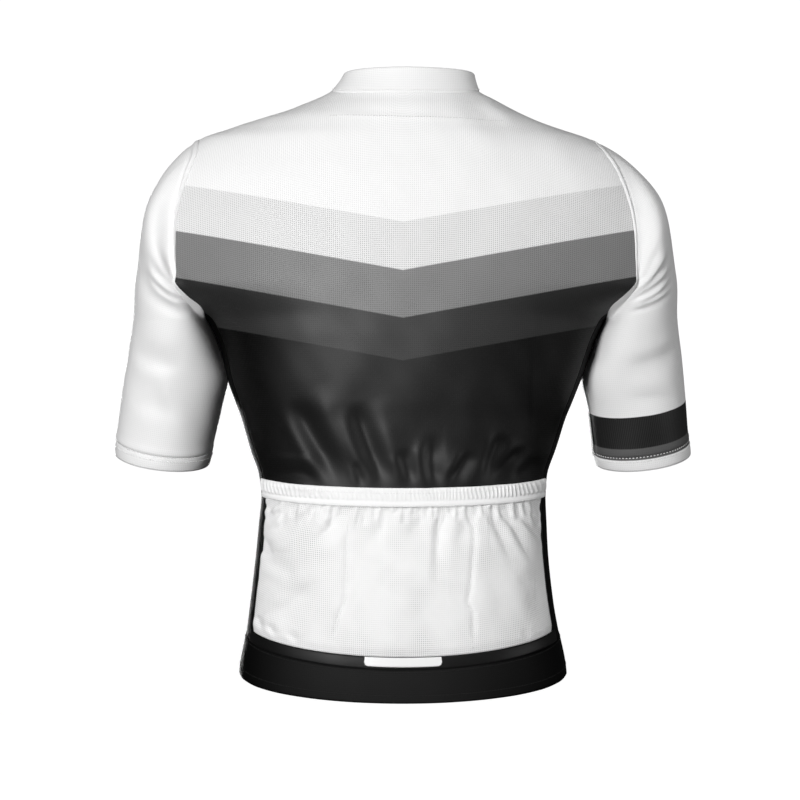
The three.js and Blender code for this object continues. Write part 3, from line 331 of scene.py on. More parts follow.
print("folds:", len(WAIST_FOLDS + SHOULDER_FOLDS + ARMPIT_FOLDS + FRONT_FOLDS))

# %% [markdown]
# ## From a grid of places to a sheet of cloth
# A panel is a grid of points: rows go up and columns go round. The sheet is the grid's outer face, the same
# grid moved inwards by the thickness, and a narrow rim. The UV map is measured in metres along the cloth,
# so a knit pattern keeps its real size on every panel and follows the cloth round a curve. On back and
# fronts it is measured on the body without its folds.

# %% Sheet of cloth from a grid
CLOTH, HEM_CLOTH, COLLAR_CLOTH = 0.8, 1.4, 1.6
MESH_CLOTH, ELASTIC_CLOTH, TAPE_CLOTH, STRIP_FILM = 0.45, 1.2, 0.5, 0.4


def cloth_map(points, closed, foot):
    """Distances along the cloth, in metres: across from the middle column, and up from the foot."""
    wrapped = np.concatenate([points, points[:, :1]], axis=1) if closed else points
    across = np.linalg.norm(np.diff(wrapped, axis=1), axis=-1)
    across = np.concatenate([np.zeros((len(points), 1)), np.cumsum(across, axis=1)], axis=1)
    across = across - across[:, across.shape[1] // 2][:, None]
    up = np.linalg.norm(np.diff(wrapped, axis=0), axis=-1)
    up = np.concatenate([np.zeros((1, wrapped.shape[1])), np.cumsum(up, axis=0)], axis=0)
    return across * MM, (up + foot) * MM


def sheet_mesh(name, points, normals, thickness=CLOTH, closed=False, foot=0.0, cloth=None):
    """Mesh object of a sheet from a grid of outer points, in millimetres, with a given or a measured map."""
    rows, columns = points.shape[:2]
    steps = columns if closed else columns - 1
    inner = points - normals * thickness
    across, up = cloth or cloth_map(points, closed, foot)
    r, c = np.meshgrid(np.arange(rows - 1), np.arange(steps), indexing="ij")
    r, c = r.ravel(), c.ravel()
    low, high = np.arange(steps), np.arange(rows - 1)

    def corners(side, row, column):
        return np.stack([np.broadcast_to(v, np.shape(row + column)) for v in (side, row, column)], axis=-1)

    def quads(*four):
        return np.stack([corners(*corner) for corner in four], axis=1)

    last = rows - 1
    faces = [quads((0, r, c), (0, r, c + 1), (0, r + 1, c + 1), (0, r + 1, c)),
             quads((1, r, c), (1, r + 1, c), (1, r + 1, c + 1), (1, r, c + 1)),
             quads((0, 0, low), (1, 0, low), (1, 0, low + 1), (0, 0, low + 1)),
             quads((0, last, low), (0, last, low + 1), (1, last, low + 1), (1, last, low))]
    if not closed:
        edge = columns - 1
        faces += [quads((0, high, 0), (0, high + 1, 0), (1, high + 1, 0), (1, high, 0)),
                  quads((0, high, edge), (1, high, edge), (1, high + 1, edge), (0, high + 1, edge))]
    faces = np.concatenate(faces)
    positions = np.concatenate([points.reshape(-1, 3), inner.reshape(-1, 3)]) * MM
    index = faces[..., 0] * rows * columns + faces[..., 1] * columns + faces[..., 2] % columns
    first = positions[index[: len(r)]]
    facing = np.cross(first[:, 1] - first[:, 0], first[:, 3] - first[:, 0])
    outward = normals[faces[: len(r), 0, 1], faces[: len(r), 0, 2] % columns]
    if (facing * outward).sum() < 0:
        faces, index = faces[:, ::-1], index[:, ::-1]
    mesh = bpy.data.meshes.new(name)
    mesh.from_pydata(positions, [], index.tolist())
    uv = mesh.uv_layers.new(name="cloth")
    flat = np.stack([across[faces[..., 1], faces[..., 2]], up[faces[..., 1], faces[..., 2]]], axis=-1)
    uv.data.foreach_set("uv", flat.reshape(-1).astype(np.float32))
    mesh.polygons.foreach_set("use_smooth", np.ones(len(index), bool))
    mesh.update()
    piece = bpy.data.objects.new(name, mesh)
    bpy.context.scene.collection.objects.link(piece)
    print(f"{name}: {rows} by {columns} places, {2 * len(index)} triangles")
    return piece

# %% [markdown]
# ## Finishes written as expressions
# A finish is a small node tree. The class below wraps a socket so that shader maths can be written as plain
# Python, and every operator adds one Math node. It makes a knit pattern as readable as a formula.

# %% Sockets that can be added and multiplied
class Wire:
    """One socket of a finish. Arithmetic on it adds Math nodes."""

    def __init__(self, finish, socket):
        self.finish, self.socket = finish, socket

    def math(self, operation, *others):
        return self.finish.node("ShaderNodeMath", {"operation": operation}, {
            i: value for i, value in enumerate((self, *others))})

    def __add__(self, other):
        return self.math("ADD", other)

    __radd__ = __add__

    def __sub__(self, other):
        return self.math("SUBTRACT", other)

    def __rsub__(self, other):
        return self.finish.node("ShaderNodeMath", {"operation": "SUBTRACT"}, {0: other, 1: self})

    def __mul__(self, other):
        return self.math("MULTIPLY", other)

    __rmul__ = __mul__

    def __truediv__(self, other):
        return self.math("DIVIDE", other)

    def __abs__(self):
        return self.math("ABSOLUTE")

    def fraction(self):
        return self.math("FRACT")

    def wave(self):
        return self.math("SINE")

    def root(self):
        return self.math("SQRT")

    def smaller(self, other):
        return self.math("MINIMUM", other)

    def larger(self, other):
        return self.math("MAXIMUM", other)

    def clamped(self):
        return self.larger(0.0).smaller(1.0)

    def above(self, edge, soft):
        """1 above the edge and 0 below it, with a soft change."""
        return ((self - edge) / soft + 0.5).clamped()


class Finish:
    """A material being built, with one method that adds any node."""

    def __init__(self, name, **shader):
        self.material = bpy.data.materials.new(name)
        self.material.use_nodes = True
        self.tree = self.material.node_tree
        self.shader = self.tree.nodes["Principled BSDF"]
        for socket, value in shader.items():
            self.shader.inputs[socket.replace("_", " ")].default_value = value

    def node(self, kind, settings=None, sockets=None, output=0):
        made = self.tree.nodes.new(kind)
        for setting, value in (settings or {}).items():
            setattr(made, setting, value)
        for socket, value in (sockets or {}).items():
            if isinstance(value, Wire):
                self.tree.links.new(value.socket, made.inputs[socket])
            else:
                made.inputs[socket].default_value = value
        return Wire(self, made.outputs[output])

    def place(self):
        """Object coordinates x, y, z in metres."""
        where = self.node("ShaderNodeTexCoord", output="Object")
        return self.split(where)

    def along_cloth(self):
        """Distances across and up the cloth, in metres."""
        where = self.node("ShaderNodeUVMap", {"uv_map": "cloth"})
        return self.split(where)[:2]

    def split(self, vector):
        parts = self.node("ShaderNodeSeparateXYZ", sockets={0: vector})
        return [Wire(self, parts.socket.node.outputs[i]) for i in range(3)]

    def noise(self, scale, detail=2.0):
        where = self.node("ShaderNodeTexCoord", output="Object")
        return self.node("ShaderNodeTexNoise", sockets={"Vector": where, "Scale": scale, "Detail": detail})

    def bump(self, height, distance, strength=1.0):
        normal = self.node("ShaderNodeBump", sockets={
            "Height": height, "Distance": distance, "Strength": strength})
        self.to("Normal", normal)

    def to(self, socket, value):
        self.tree.links.new(value.socket, self.shader.inputs[socket])

# %% [markdown]
# ## Knit patterns
# Sports knit is full of tiny air holes in even rows. Real holes would need millions of triangles, so
# they are a pattern on the UV map that darkens the colour and dents the normal.

# %% Pattern helpers
HOLE_PITCH, HOLE_SOFTNESS = 2.1 * MM, 0.16


def air_holes(across, up, pitch, radius):
    """1 in the middle of each hole of a square grid and 0 between the holes."""
    dx, dy = (across / pitch).fraction() - 0.5, (up / pitch).fraction() - 0.5
    return 1.0 - (dx * dx + dy * dy).root().above(radius, HOLE_SOFTNESS)


def ribs(across, pitch):
    """A soft wave from 0 to 1 across the cloth."""
    return (across * (2 * math.pi / pitch)).wave() * 0.5 + 0.5


WHITE_TONE = 0.88
PRINT_SLOPE, PRINT_SOFTNESS = 0.182, 0.0012
PRINT_EDGES = (-0.283, -0.240, -0.192, -0.143)
PRINT_TONES = (0.011, 0.041, 0.235, 0.79, 0.90)
# Painted light: the middle of the garment, a little to the wearer's left where the key lamp stands, is
# painted paler than its sides.
SIDE_REACH, LIGHT_MIDDLE_OFFSET = 150 * MM, 12 * MM


def painted_light_middle(finish):
    """1 in the middle of the garment, where the light falls, and 0 at its sides: it paints light in the
    middle and shade at the sides.
    """
    x, _, _ = finish.place()
    aside = (x - LIGHT_MIDDLE_OFFSET) / SIDE_REACH
    return (1.0 - aside * aside).clamped()


def printed_knit():
    """White knit with a chevron that fades in steps to black."""
    finish = Finish("printed knit", Roughness=0.5, Specular_IOR_Level=0.12, Coat_Roughness=0.5)
    x, _, z = finish.place()
    height = z - abs(x) * PRINT_SLOPE
    tone = PRINT_TONES[0]
    for edge, below, above in zip(PRINT_EDGES, PRINT_TONES, PRINT_TONES[1:]):
        tone = height.above(edge, PRINT_SOFTNESS) * (above - below) + tone
    across, up = finish.along_cloth()
    holes = air_holes(across, up, HOLE_PITCH, 0.26)
    printed = 1.0 - height.above(PRINT_EDGES[-1], PRINT_SOFTNESS)
    # Painted shade: the black of the print is darker towards the sides, away from the light.
    side_shade = (1.0 - painted_light_middle(finish)) * printed * 0.014
    lines = ribs(across, HOLE_PITCH) * 0.03
    ground = tone - side_shade
    knitted = ground * (1.0 - lines - holes * (printed * 0.25 + 0.20))
    finish.to("Base Color", knitted + holes * printed * 0.004)
    # Painted highlight: the coat is heaviest in the middle, so a sheen shows where the light falls.
    finish.to("Coat Weight", painted_light_middle(finish) * 0.5)
    finish.bump(1.0 - holes, 0.2 * MM, 0.6)
    return finish.material


def pocket_mesh():
    """Open white mesh of the pockets."""
    finish = Finish("pocket mesh", Roughness=0.7)
    across, up = finish.along_cloth()
    holes = air_holes(across, up, HOLE_PITCH, 0.30)
    open_patch = ((finish.noise(18.0) - 0.40) * 3.0).clamped()
    finish.to("Base Color", WHITE_TONE - holes * (open_patch * 0.34 + 0.05))
    finish.bump(1.0 - holes, 0.2 * MM, 0.6)
    return finish.material


def fine_knit(finish, hole_tone=0.10):
    """Share of light that the fine loops and holes of a smooth knit give back; it dents the normal too."""
    across, up = finish.along_cloth()
    loops = ribs(across, 1.1 * MM) * ribs(up, 1.4 * MM)
    holes = air_holes(across, up, HOLE_PITCH, 0.24)
    finish.bump(loops * 0.4 - holes, 0.12 * MM, 0.5)
    return 1.0 - loops * 0.05 - holes * hole_tone


def plain_knit(name, tone, **shader):
    """Smooth fine knit with faint loops."""
    finish = Finish(name, Roughness=0.55, **shader)
    finish.to("Base Color", fine_knit(finish) * tone)
    return finish.material


def black_knit():
    """Black knit with painted light: paler in the middle of the garment, where the light falls, and darker
    at its sides.
    """
    finish = Finish("black knit", Roughness=0.6, Specular_IOR_Level=0.06)
    finish.to("Base Color", fine_knit(finish, 0.3) * (painted_light_middle(finish) * 0.013 + 0.001))
    return finish.material


BAND_FOOT, BAND_TOP, STRIPE_FOOT, STRIPE_SOFTNESS = 25 * MM, 59 * MM, 12.4 * MM, 0.0006
BAND_TONE, STRIPE_TONE = 0.007, 0.10


def banded_knit():
    """Sleeve knit with a black band above a dark-grey stripe, measured up from the sleeve's rim."""
    finish = Finish("banded sleeve knit", Roughness=0.6, Specular_IOR_Level=0.25)
    across, up = finish.along_cloth()
    above_stripe, above_foot, above_band = (
        up.above(edge, STRIPE_SOFTNESS) for edge in (STRIPE_FOOT, BAND_FOOT, BAND_TOP))
    stripe = above_stripe * (1.0 - above_foot)
    band = above_foot * (1.0 - above_band)
    band_ribs = ribs(across + up * 0.25, 2.4 * MM) * 0.013
    tone = WHITE_TONE - stripe * (WHITE_TONE - STRIPE_TONE) - band * (WHITE_TONE - BAND_TONE - band_ribs)
    finish.to("Base Color", fine_knit(finish) * tone)
    return finish.material


def elastic():
    """Elastic with fine ribs that run up the band."""
    finish = Finish("ribbed elastic", Roughness=0.7)
    across, up = finish.along_cloth()
    fine = ribs(across, 1.6 * MM)
    finish.to("Base Color", 0.92 - fine * 0.03)
    finish.bump(fine + ribs(up, 1.3 * MM) * 0.4, 0.12 * MM, 0.5)
    return finish.material


def satin():
    """Woven satin tape: dark, with a soft line of light."""
    finish = Finish("black satin", Specular_IOR_Level=0.22)
    across, up = finish.along_cloth()
    weave = ribs(up, 0.9 * MM)
    # Painted light: the tape is paler in the middle of the back, where the light falls, and darker towards
    # its sides.
    finish.to("Base Color", painted_light_middle(finish) * 0.007 + weave * 0.003)
    finish.to("Roughness", 0.42 + weave * 0.12)
    finish.bump(weave, 0.06 * MM, 0.5)
    return finish.material


def reflector():
    """Pale reflective film with a fine printed grid."""
    finish = Finish("reflective film", Specular_IOR_Level=0.7)
    across, up = finish.along_cloth()
    grid = air_holes(across, up, 1.2 * MM, 0.3)
    finish.to("Base Color", 0.90 - grid * 0.05)
    finish.to("Roughness", 0.32 + grid * 0.1)
    return finish.material


def thread(name, tone):
    """Sewing thread with a fine twist."""
    finish = Finish(name, Roughness=0.7, Specular_IOR_Level=0.12)
    x, y, z = finish.place()
    twist = ((x + y + z) * (2 * math.pi / (0.7 * MM))).wave() * 0.5 + 0.5
    finish.to("Base Color", tone * (1.0 - twist * 0.12))
    return finish.material


def lacquer(name, tone, roughness, metallic):
    """Dark lacquer that is a little worn and uneven."""
    finish = Finish(name, Metallic=metallic)
    worn = finish.noise(400.0)
    finish.to("Base Color", worn * tone * 0.5 + tone * 0.75)
    finish.to("Roughness", worn * 0.12 + roughness)
    return finish.material


FINISHES = {
    "print": printed_knit(), "mesh": pocket_mesh(), "white": plain_knit("white sleeve knit", WHITE_TONE),
    "banded": banded_knit(), "black": black_knit(), "elastic": elastic(),
    "satin": satin(), "reflector": reflector(), "white thread": thread("white thread", 0.86),
    "black thread": thread("black thread", 0.02), "grey thread": thread("grey thread", 0.62),
    "teeth": lacquer("zip teeth", 0.03, 0.4, 0.0), "metal": lacquer("zip metal", 0.06, 0.3, 0.85),
}
print("finishes:", len(FINISHES))

# %% [markdown]
# ## Dressing a cloth piece
# Every cloth piece keeps the name of the sheet that it is cut from, gets its finish, is put on its body
# and stands for its CAD node, which is hidden.

# %% Dress a node
def dress(piece, finish, node):
    """Gives a cloth piece its finish and ties it to the CAD node that it stands for."""
    piece.data.materials.append(FINISHES[finish])
    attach(piece, "garment")
    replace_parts(piece, node)

# %% [markdown]
# ## Back and front panels
# The lower part of a panel is level rows between the hem and the underarm. Above it the panel lies between
# four edges: the underarm level, an armhole on each side (on a front, an armhole and the zip), and the
# shoulder seam with the neck beside it. A patch that blends the four edges (a Coons patch) fills it evenly,
# in body coordinates.

# %% Rows of a panel
LEVELS_UPWARDS = ["hem seam", "pocket foot", "band foot", "band top", None]
ROWS_BETWEEN = [5, 50, 7, 58]
ARMHOLE_STEPS, SHOULDER_COLUMNS = 88, 40
BACK_NECK_COLUMNS, FRONT_NECK_COLUMNS, SIDE_COLUMNS = 78, 40, 32
TIP_TURN = -6
ZIP_EDGE, ZIP_LEVEL = 7.3, -450.0


def lower_rows(start, end, columns):
    """Angles and heights from the hem seam up to the underarm level."""
    angle = mix(start, end, np.linspace(0, 1, columns + 1))
    rows = []
    for low, high, count in zip(LEVELS_UPWARDS, LEVELS_UPWARDS[1:], ROWS_BETWEEN):
        foot = level_height(low, folded(angle))
        top = level_height(high, folded(angle)) if high else UNDERARM_Z
        rows += [(angle, mix(foot, top, k / count)) for k in range(count)]
    return rows


def armhole_edge(turns):
    """Places up the armhole to the shoulder point."""
    return np.stack(armhole_place(turns), axis=-1)


def shoulder_edge():
    """Places from the shoulder point up the shoulder seam to the neck."""
    tip_angle, tip_z = armhole_place(TIP_TURN)
    return np.stack([np.linspace(tip_angle, SHOULDER_SEAM, SHOULDER_COLUMNS + 1),
                     np.linspace(tip_z, neck_height(SHOULDER_SEAM), SHOULDER_COLUMNS + 1)], axis=-1)


def patch(bottom, top, left, right):
    """Coons patch between four edges of [angle, height] places."""
    v = np.linspace(0, 1, len(left))[:, None, None]
    u = np.linspace(0, 1, len(bottom))[None, :, None]
    return ((1 - v) * bottom[None] + v * top[None] + (1 - u) * left[:, None] + u * right[:, None]
            - (1 - u) * (1 - v) * bottom[0] - u * (1 - v) * bottom[-1]
            - (1 - u) * v * top[0] - u * v * top[-1])


def grid_of(rows):
    """Two grids from a list of rows that each hold a pair: angles and heights, or points and directions."""
    return np.array([row[0] for row in rows]), np.array([row[1] for row in rows])


def stacked(rows, upper):
    """Angles and heights of the lower rows with the upper patch on top."""
    angle, z = grid_of(rows)
    return np.concatenate([angle, upper[..., 0]]), np.concatenate([z, upper[..., 1]])


def underarm_edge(start, end, count):
    """Places along the underarm level."""
    across = np.linspace(start, end, count)
    return np.stack([across, np.full(across.shape, UNDERARM_Z)], axis=-1)


def neck_edge(start, end, columns):
    """Places along the neck seam."""
    neck = np.linspace(start, end, columns + 1)
    return np.stack([neck, neck_height(folded(neck))], axis=-1)


def zip_angle(x, z):
    """Body angle at a small distance from the middle of the front, on the wearer's left."""
    return -np.degrees(np.arccos(x / body_left(z)))


def back_panel_places():
    left = armhole_edge(np.linspace(UNDERARM_TURN, TIP_TURN, ARMHOLE_STEPS + 1))
    shoulder = shoulder_edge()
    neck = neck_edge(SHOULDER_SEAM, 180 - SHOULDER_SEAM, BACK_NECK_COLUMNS)
    mirrored = [180, 0] + shoulder[::-1] * [-1, 1]
    top = np.concatenate([shoulder, neck[1:-1], mirrored])
    bottom = underarm_edge(SIDE_SEAM_BACK, 180 - SIDE_SEAM_BACK, len(top))
    return stacked(lower_rows(SIDE_SEAM_BACK, 180 - SIDE_SEAM_BACK, len(top) - 1),
                   patch(bottom, top, left, [180, 0] + left * [-1, 1]))


def zip_neck_height():
    """Height at which the zip's edge meets the neck seam."""
    return float(neck_height(zip_angle(ZIP_EDGE, neck_height(-90.0))))


def front_panel_places(side):
    right = armhole_edge(np.linspace(-UNDERARM_TURN, TIP_TURN, ARMHOLE_STEPS + 1))
    heights = np.linspace(UNDERARM_Z, zip_neck_height(), ARMHOLE_STEPS + 1)
    left = np.stack([zip_angle(ZIP_EDGE, heights), heights], axis=-1)
    neck = neck_edge(left[-1, 0], SHOULDER_SEAM, FRONT_NECK_COLUMNS)
    top = np.concatenate([neck, shoulder_edge()[::-1][1:]])
    bottom = underarm_edge(left[0, 0], SIDE_SEAM_FRONT, len(top))
    share = np.linspace(0, 1, len(top))
    rows = lower_rows(float(zip_angle(ZIP_EDGE, ZIP_LEVEL)), SIDE_SEAM_FRONT, len(top) - 1)
    rows = [(mix(zip_angle(ZIP_EDGE, z[0]), SIDE_SEAM_FRONT, share), z) for _, z in rows]
    angle, z = stacked(rows, patch(bottom, top, left, right))
    return (angle, z) if side > 0 else (180 - angle, z)


MAP_START, MAP_END = -180, 360
MAP_LEVELS = np.concatenate([[-640, -400], np.linspace(-240, 0, 49)])


def body_map(angle, z, middle):
    """Distances in metres round the body from its middle, and up from the hem, for the knit pattern."""
    steps = np.linspace(0, 1, 25)
    round_body = body_point(mix(middle, angle[..., None], steps), z[..., None] + 0 * steps)
    arc = np.linalg.norm(np.diff(round_body, axis=-2), axis=-1).sum(axis=-1)
    lines = body_point(np.arange(MAP_START, MAP_END + 1.0)[:, None], MAP_LEVELS)
    climb = np.linalg.norm(np.diff(lines, axis=1), axis=-1)
    climb = np.concatenate([np.zeros((len(lines), 1)), np.cumsum(climb, axis=1)], axis=1)
    level, turn = np.interp(z, MAP_LEVELS, np.arange(len(MAP_LEVELS))), angle - MAP_START
    low = np.minimum(level.astype(int), len(MAP_LEVELS) - 2)
    column = np.minimum(turn.astype(int), len(lines) - 2)
    part, turn = level - low, turn - column
    up = mix(mix(climb[column, low], climb[column, low + 1], part),
             mix(climb[column + 1, low], climb[column + 1, low + 1], part), turn)
    return np.sign(angle - middle) * arc * MM, up * MM

# %% Back and fronts
def printed_sheet(name, angle, z, middle):
    """Sheet over places on the body, with the knit measured from the middle of back or front."""
    points, normals = body_surface(angle, z)
    return sheet_mesh(name, points, normals, cloth=body_map(angle, z, middle))


SIDES = ((1, "left"), (-1, "right"))
dress(printed_sheet("jersey_back", *back_panel_places(), 90), "print", "back_panel")
for side, name in SIDES:
    sheet = printed_sheet(f"jersey_front_{name}", *front_panel_places(side), -90 if side > 0 else 270)
    dress(sheet, "print", f"front_{name}")

# %% [markdown]
# ## Side panels
# A narrow black panel under each arm closes the jersey between back and front. From behind it shows as the
# dark edge beside the pockets.

# %% Side panels
for side, name in SIDES:
    rows = lower_rows(SIDE_SEAM_BACK, SIDE_SEAM_FRONT, SIDE_COLUMNS)
    under = np.linspace(UNDERARM_TURN, 360 - UNDERARM_TURN, SIDE_COLUMNS + 1)
    rows.append(armhole_place(np.where(under > 180, under - 360, under)))
    angle, z = grid_of(rows)
    points, normals = body_surface(angle if side > 0 else 180 - angle, z)
    dress(sheet_mesh(f"jersey_side_{name}", points, normals), "black", f"side_panel_{name}")

# %% [markdown]
# ## Sleeves
# A sleeve is a tube of arm sections that starts on the armhole and hangs forward as arms do. A smooth curve
# (Hermite) runs through the sections along each line of the tube, and at the armhole it carries on from the
# body's surface, so that the shoulder shows no step. The seam itself is a small roll of cloth.

# %% Sleeve sections
SLEEVE = table("outLeft outRight outZ inLeft inRight inZ middle back front lean bow roundness", [
    (262, 265, -106, 202.4, 209.2, -244, 1, 75, 70, 0.02, 19, 2.1),
    (279, 285.5, -190, 196.8, 203.6, -254, -3, 66, 62, 0.1, 6, 2.2),
    (283.5, 289, -236, 191, 197.5, -272, -8, 61, 58, 0.17, 1, 2.2),
    (290.5, 294, -276, 184.5, 188, -298, -16, 57, 55, 0.22, 0, 2.15),
    (297.5, 298.5, -318, 191.5, 195, -331, -25, 54.5, 53, 0.25, 0, 2.1),
    (303.5, 303, -363, 202, 201, -376, -34, 52, 51, 0.25, 0, 2.05),
    (305.5, 305.5, -378, 205.5, 204.5, -390, -37, 51.5, 50.5, 0.25, 0, 2.05),
])
STATIONS = [0, 0.2, 0.4, 0.53, 0.67, 0.82, 0.955, 1]
CUFF_SEAM = 0.955


def arm_section(side, row, turn):
    """Points round one arm section: turn 0 is outermost, 90 the back."""
    outer = row["outLeft"] if side > 0 else row["outRight"]
    inner = row["inLeft"] if side > 0 else row["inRight"]
    across, depth = oval(turn, 1, 1, row["back"], row["front"], row["roundness"])
    x = (outer + inner) / 2 + (outer - inner) / 2 * across + row["bow"] * np.sin(np.radians(turn)) ** 2
    z = (row["outZ"] + row["inZ"]) / 2 + (row["outZ"] - row["inZ"]) / 2 * across - row["lean"] * depth
    return np.stack([side * x, row["middle"] + depth, z], axis=-1)


def wrap(turn):
    """The same turn between -180 and 180."""
    return np.where(turn > 180, turn - 360, np.where(turn < -180, turn + 360, turn))


def armhole_body(side, turn):
    """Body angle and height of a place on one side's armhole."""
    angle, z = armhole_place(turn)
    return (angle if side > 0 else 180 - angle), z


def armhole_direction(side, turn):
    """Direction in which the body's surface leaves the armhole."""
    after, before = (body_point(*armhole_body(side, wrap(turn + step))) for step in (1, -1))
    along = after - before
    return unit(np.cross(along, body_normal(*armhole_body(side, turn))) * side)


def sleeve_point(side, station, turn):
    """Places round the tube: station 0 is the armhole and 1 the sleeve's rim."""
    points = [body_point(*armhole_body(side, turn))] + [arm_section(side, row, turn) for row in SLEEVE]
    last = len(points) - 1
    i = int(np.clip(np.searchsorted(STATIONS, station, side="right") - 1, 0, last - 1))

    def tangent(k):
        low, high = max(0, k - 1), min(last, k + 1)
        secant = (points[high] - points[low]) / (STATIONS[high] - STATIONS[low])
        if k > 0:
            return secant
        carried = (1 - smoothstep(np.abs(turn), 105, 150))[..., None]
        length = np.linalg.norm(secant, axis=-1, keepdims=True)
        return mix(secant, armhole_direction(side, turn) * length, carried)

    span = STATIONS[i + 1] - STATIONS[i]
    t = (station - STATIONS[i]) / span
    return (points[i] * (2 * t**3 - 3 * t**2 + 1) + tangent(i) * (t**3 - 2 * t**2 + t) * span
            + points[i + 1] * (3 * t**2 - 2 * t**3) + tangent(i + 1) * (t**3 - t**2) * span)


def sleeve_ring(side, station, turn):
    """Points and directions outwards round the sleeve at one station."""
    around = sleeve_point(side, station, wrap(turn + 1)) - sleeve_point(side, station, wrap(turn - 1))
    below, above = min(1, station + 0.01), max(0, station - 0.01)
    down = sleeve_point(side, below, turn) - sleeve_point(side, above, turn)
    normal = unit(np.cross(down, around) * side)
    point = sleeve_point(side, station, turn)
    blend = (1 - smoothstep(np.abs(turn), 125, 160)) * (1 - smoothstep(station, 0, 0.05))
    normal = unit(mix(normal, body_normal(*armhole_body(side, turn)), blend[..., None]))
    x, y, z = point[..., 0], point[..., 1], point[..., 2]
    relief = side_folds(ARMPIT_FOLDS + SHOULDER_FOLDS, FRONT_FOLDS, x, y, z)
    ease = smoothstep(1 - station, 0.0, 0.06)
    return point + normal * (relief + drape(x, z) * ease)[..., None], normal

# %% Sleeves and their hems
FRONT_COLUMNS, REAR_COLUMNS = 66, 150
SLEEVE_TURNS = np.concatenate([np.linspace(-180, 0, FRONT_COLUMNS, endpoint=False),
                               np.linspace(0, 180, REAR_COLUMNS, endpoint=False)])
seam_roll = np.array([0, 0.003, 0.006, 0.009, 0.012, 0.015, 0.018, 0.022, 0.027, 0.033])
sleeve_stations = np.concatenate([seam_roll, np.linspace(0.04, 0.5, 84), np.linspace(0.512, CUFF_SEAM, 44)])
CUFF_STATIONS = np.linspace(CUFF_SEAM, 1, 8)
SEAM_ROLL = {1: (0.011, 0.008, 2.5), -1: (0.008, 0.0055, 1.3)}
UNDERARM_SEAM_TURN = 165


def seam_relief(side, stations, turns):
    """Height of the armhole seam's roll, of the seam under the arm and of the ridge above the cuff."""
    middle, width, rise = SEAM_ROLL[side]
    behind = smoothstep(turns, 5, 50) * (1 - smoothstep(turns, 100, 140))
    taper = 0.4 * (1 - smoothstep(turns, 90, 140)) + 0.6 * behind
    away = stations - middle
    roll = np.exp(-(away / width) ** 2) - 0.4 * np.exp(-((away - 2.3 * width) / width) ** 2)
    under = np.exp(-((np.abs(turns) - UNDERARM_SEAM_TURN) / 2.2) ** 2)
    lower_arm = smoothstep(stations, 0.35, 0.5)
    cuff_ridge = np.exp(-((stations - CUFF_SEAM + 0.012) / 0.008) ** 2)
    return (rise * roll[:, None] * taper[None, :] + 0.8 * under[None, :] * lower_arm[:, None]
            + 0.8 * cuff_ridge[:, None])


def sleeve_grid(side, stations):
    """Points and directions outwards of the tube at some stations."""
    return grid_of([sleeve_ring(side, station, SLEEVE_TURNS) for station in stations])


sleeve_rings = {}
for side, name in SIDES:
    points, normals = sleeve_grid(side, sleeve_stations)
    points = points + normals * seam_relief(side, sleeve_stations, SLEEVE_TURNS)[..., None]
    cuff_points, cuff_normals = sleeve_grid(side, CUFF_STATIONS)
    puff = 0.5 * np.sin(np.pi * np.linspace(0, 1, len(CUFF_STATIONS))) + 0.2
    cuff_points = cuff_points + cuff_normals * puff[:, None, None]
    cuff_depth = float(np.linalg.norm(np.diff(cuff_points, axis=0), axis=-1).sum(axis=0).mean())
    sleeve_rings[side] = (points, normals, cuff_points, cuff_normals)
    finish = "banded" if side < 0 else "white"
    dress(sheet_mesh(f"jersey_sleeve_{name}", points[::-1], normals[::-1], closed=True, foot=cuff_depth),
          finish, f"sleeve_{name}")
    dress(sheet_mesh(f"jersey_cuff_{name}", cuff_points[::-1], cuff_normals[::-1], HEM_CLOTH, closed=True),
          finish, f"sleeve_hem_{name}")
    print("cuff depth mm:", round(cuff_depth, 1))

# %% [markdown]
# ## Collar
# The stand collar is a short band that rises from the neck seam and leans in to the neck, lower in front,
# where the zip closes it. A real one is two layers of cloth, so this sheet is thicker than the others.

# %% Collar
NECK_HALF_WIDTH, COLLAR_EASE = 77, 1.35
COLLAR_TOP = dict(left=62.5, right=75, back=50, front=68)
COLLAR_BACK_LEVEL, COLLAR_FRONT_LEVEL = -7, -68


def collar_point(angle, height):
    """Place on the collar above a body angle: height 0 is the neck seam and 1 the rim."""
    base = body_point(angle, neck_height(folded(angle)))
    depth = np.where(base[..., 1] >= 0, body_back(COLLAR_BACK_LEVEL), body_front(COLLAR_FRONT_LEVEL))
    turn = np.degrees(np.arctan2(base[..., 1] / depth, base[..., 0] / NECK_HALF_WIDTH))
    x, y = oval(turn, roundness=2, **COLLAR_TOP)
    front_turn = np.where(np.abs(turn) > 90, np.sign(turn) * (180 - np.abs(turn)), turn)
    near_zip = (1 - smoothstep(np.abs(base[..., 0]), 8, 30)) * (base[..., 1] < 0)
    top = np.stack([mix(x, base[..., 0], near_zip), y, collar_rim(front_turn)], axis=-1)
    ease = mix(1, COLLAR_EASE, smoothstep(base[..., 1], -60, -5))
    inward = 1 - (1 - height) ** ease
    return np.stack([mix(base[..., 0], top[..., 0], inward), mix(base[..., 1], top[..., 1], inward),
                     mix(base[..., 2], top[..., 2], height)], axis=-1)


def collar_surface(angle, height):
    around = collar_point(angle + 0.5, height) - collar_point(angle - 0.5, height)
    upwards = collar_point(angle, min(1, height + 0.02)) - collar_point(angle, max(0, height - 0.02))
    return collar_point(angle, height), unit(np.cross(around, upwards))


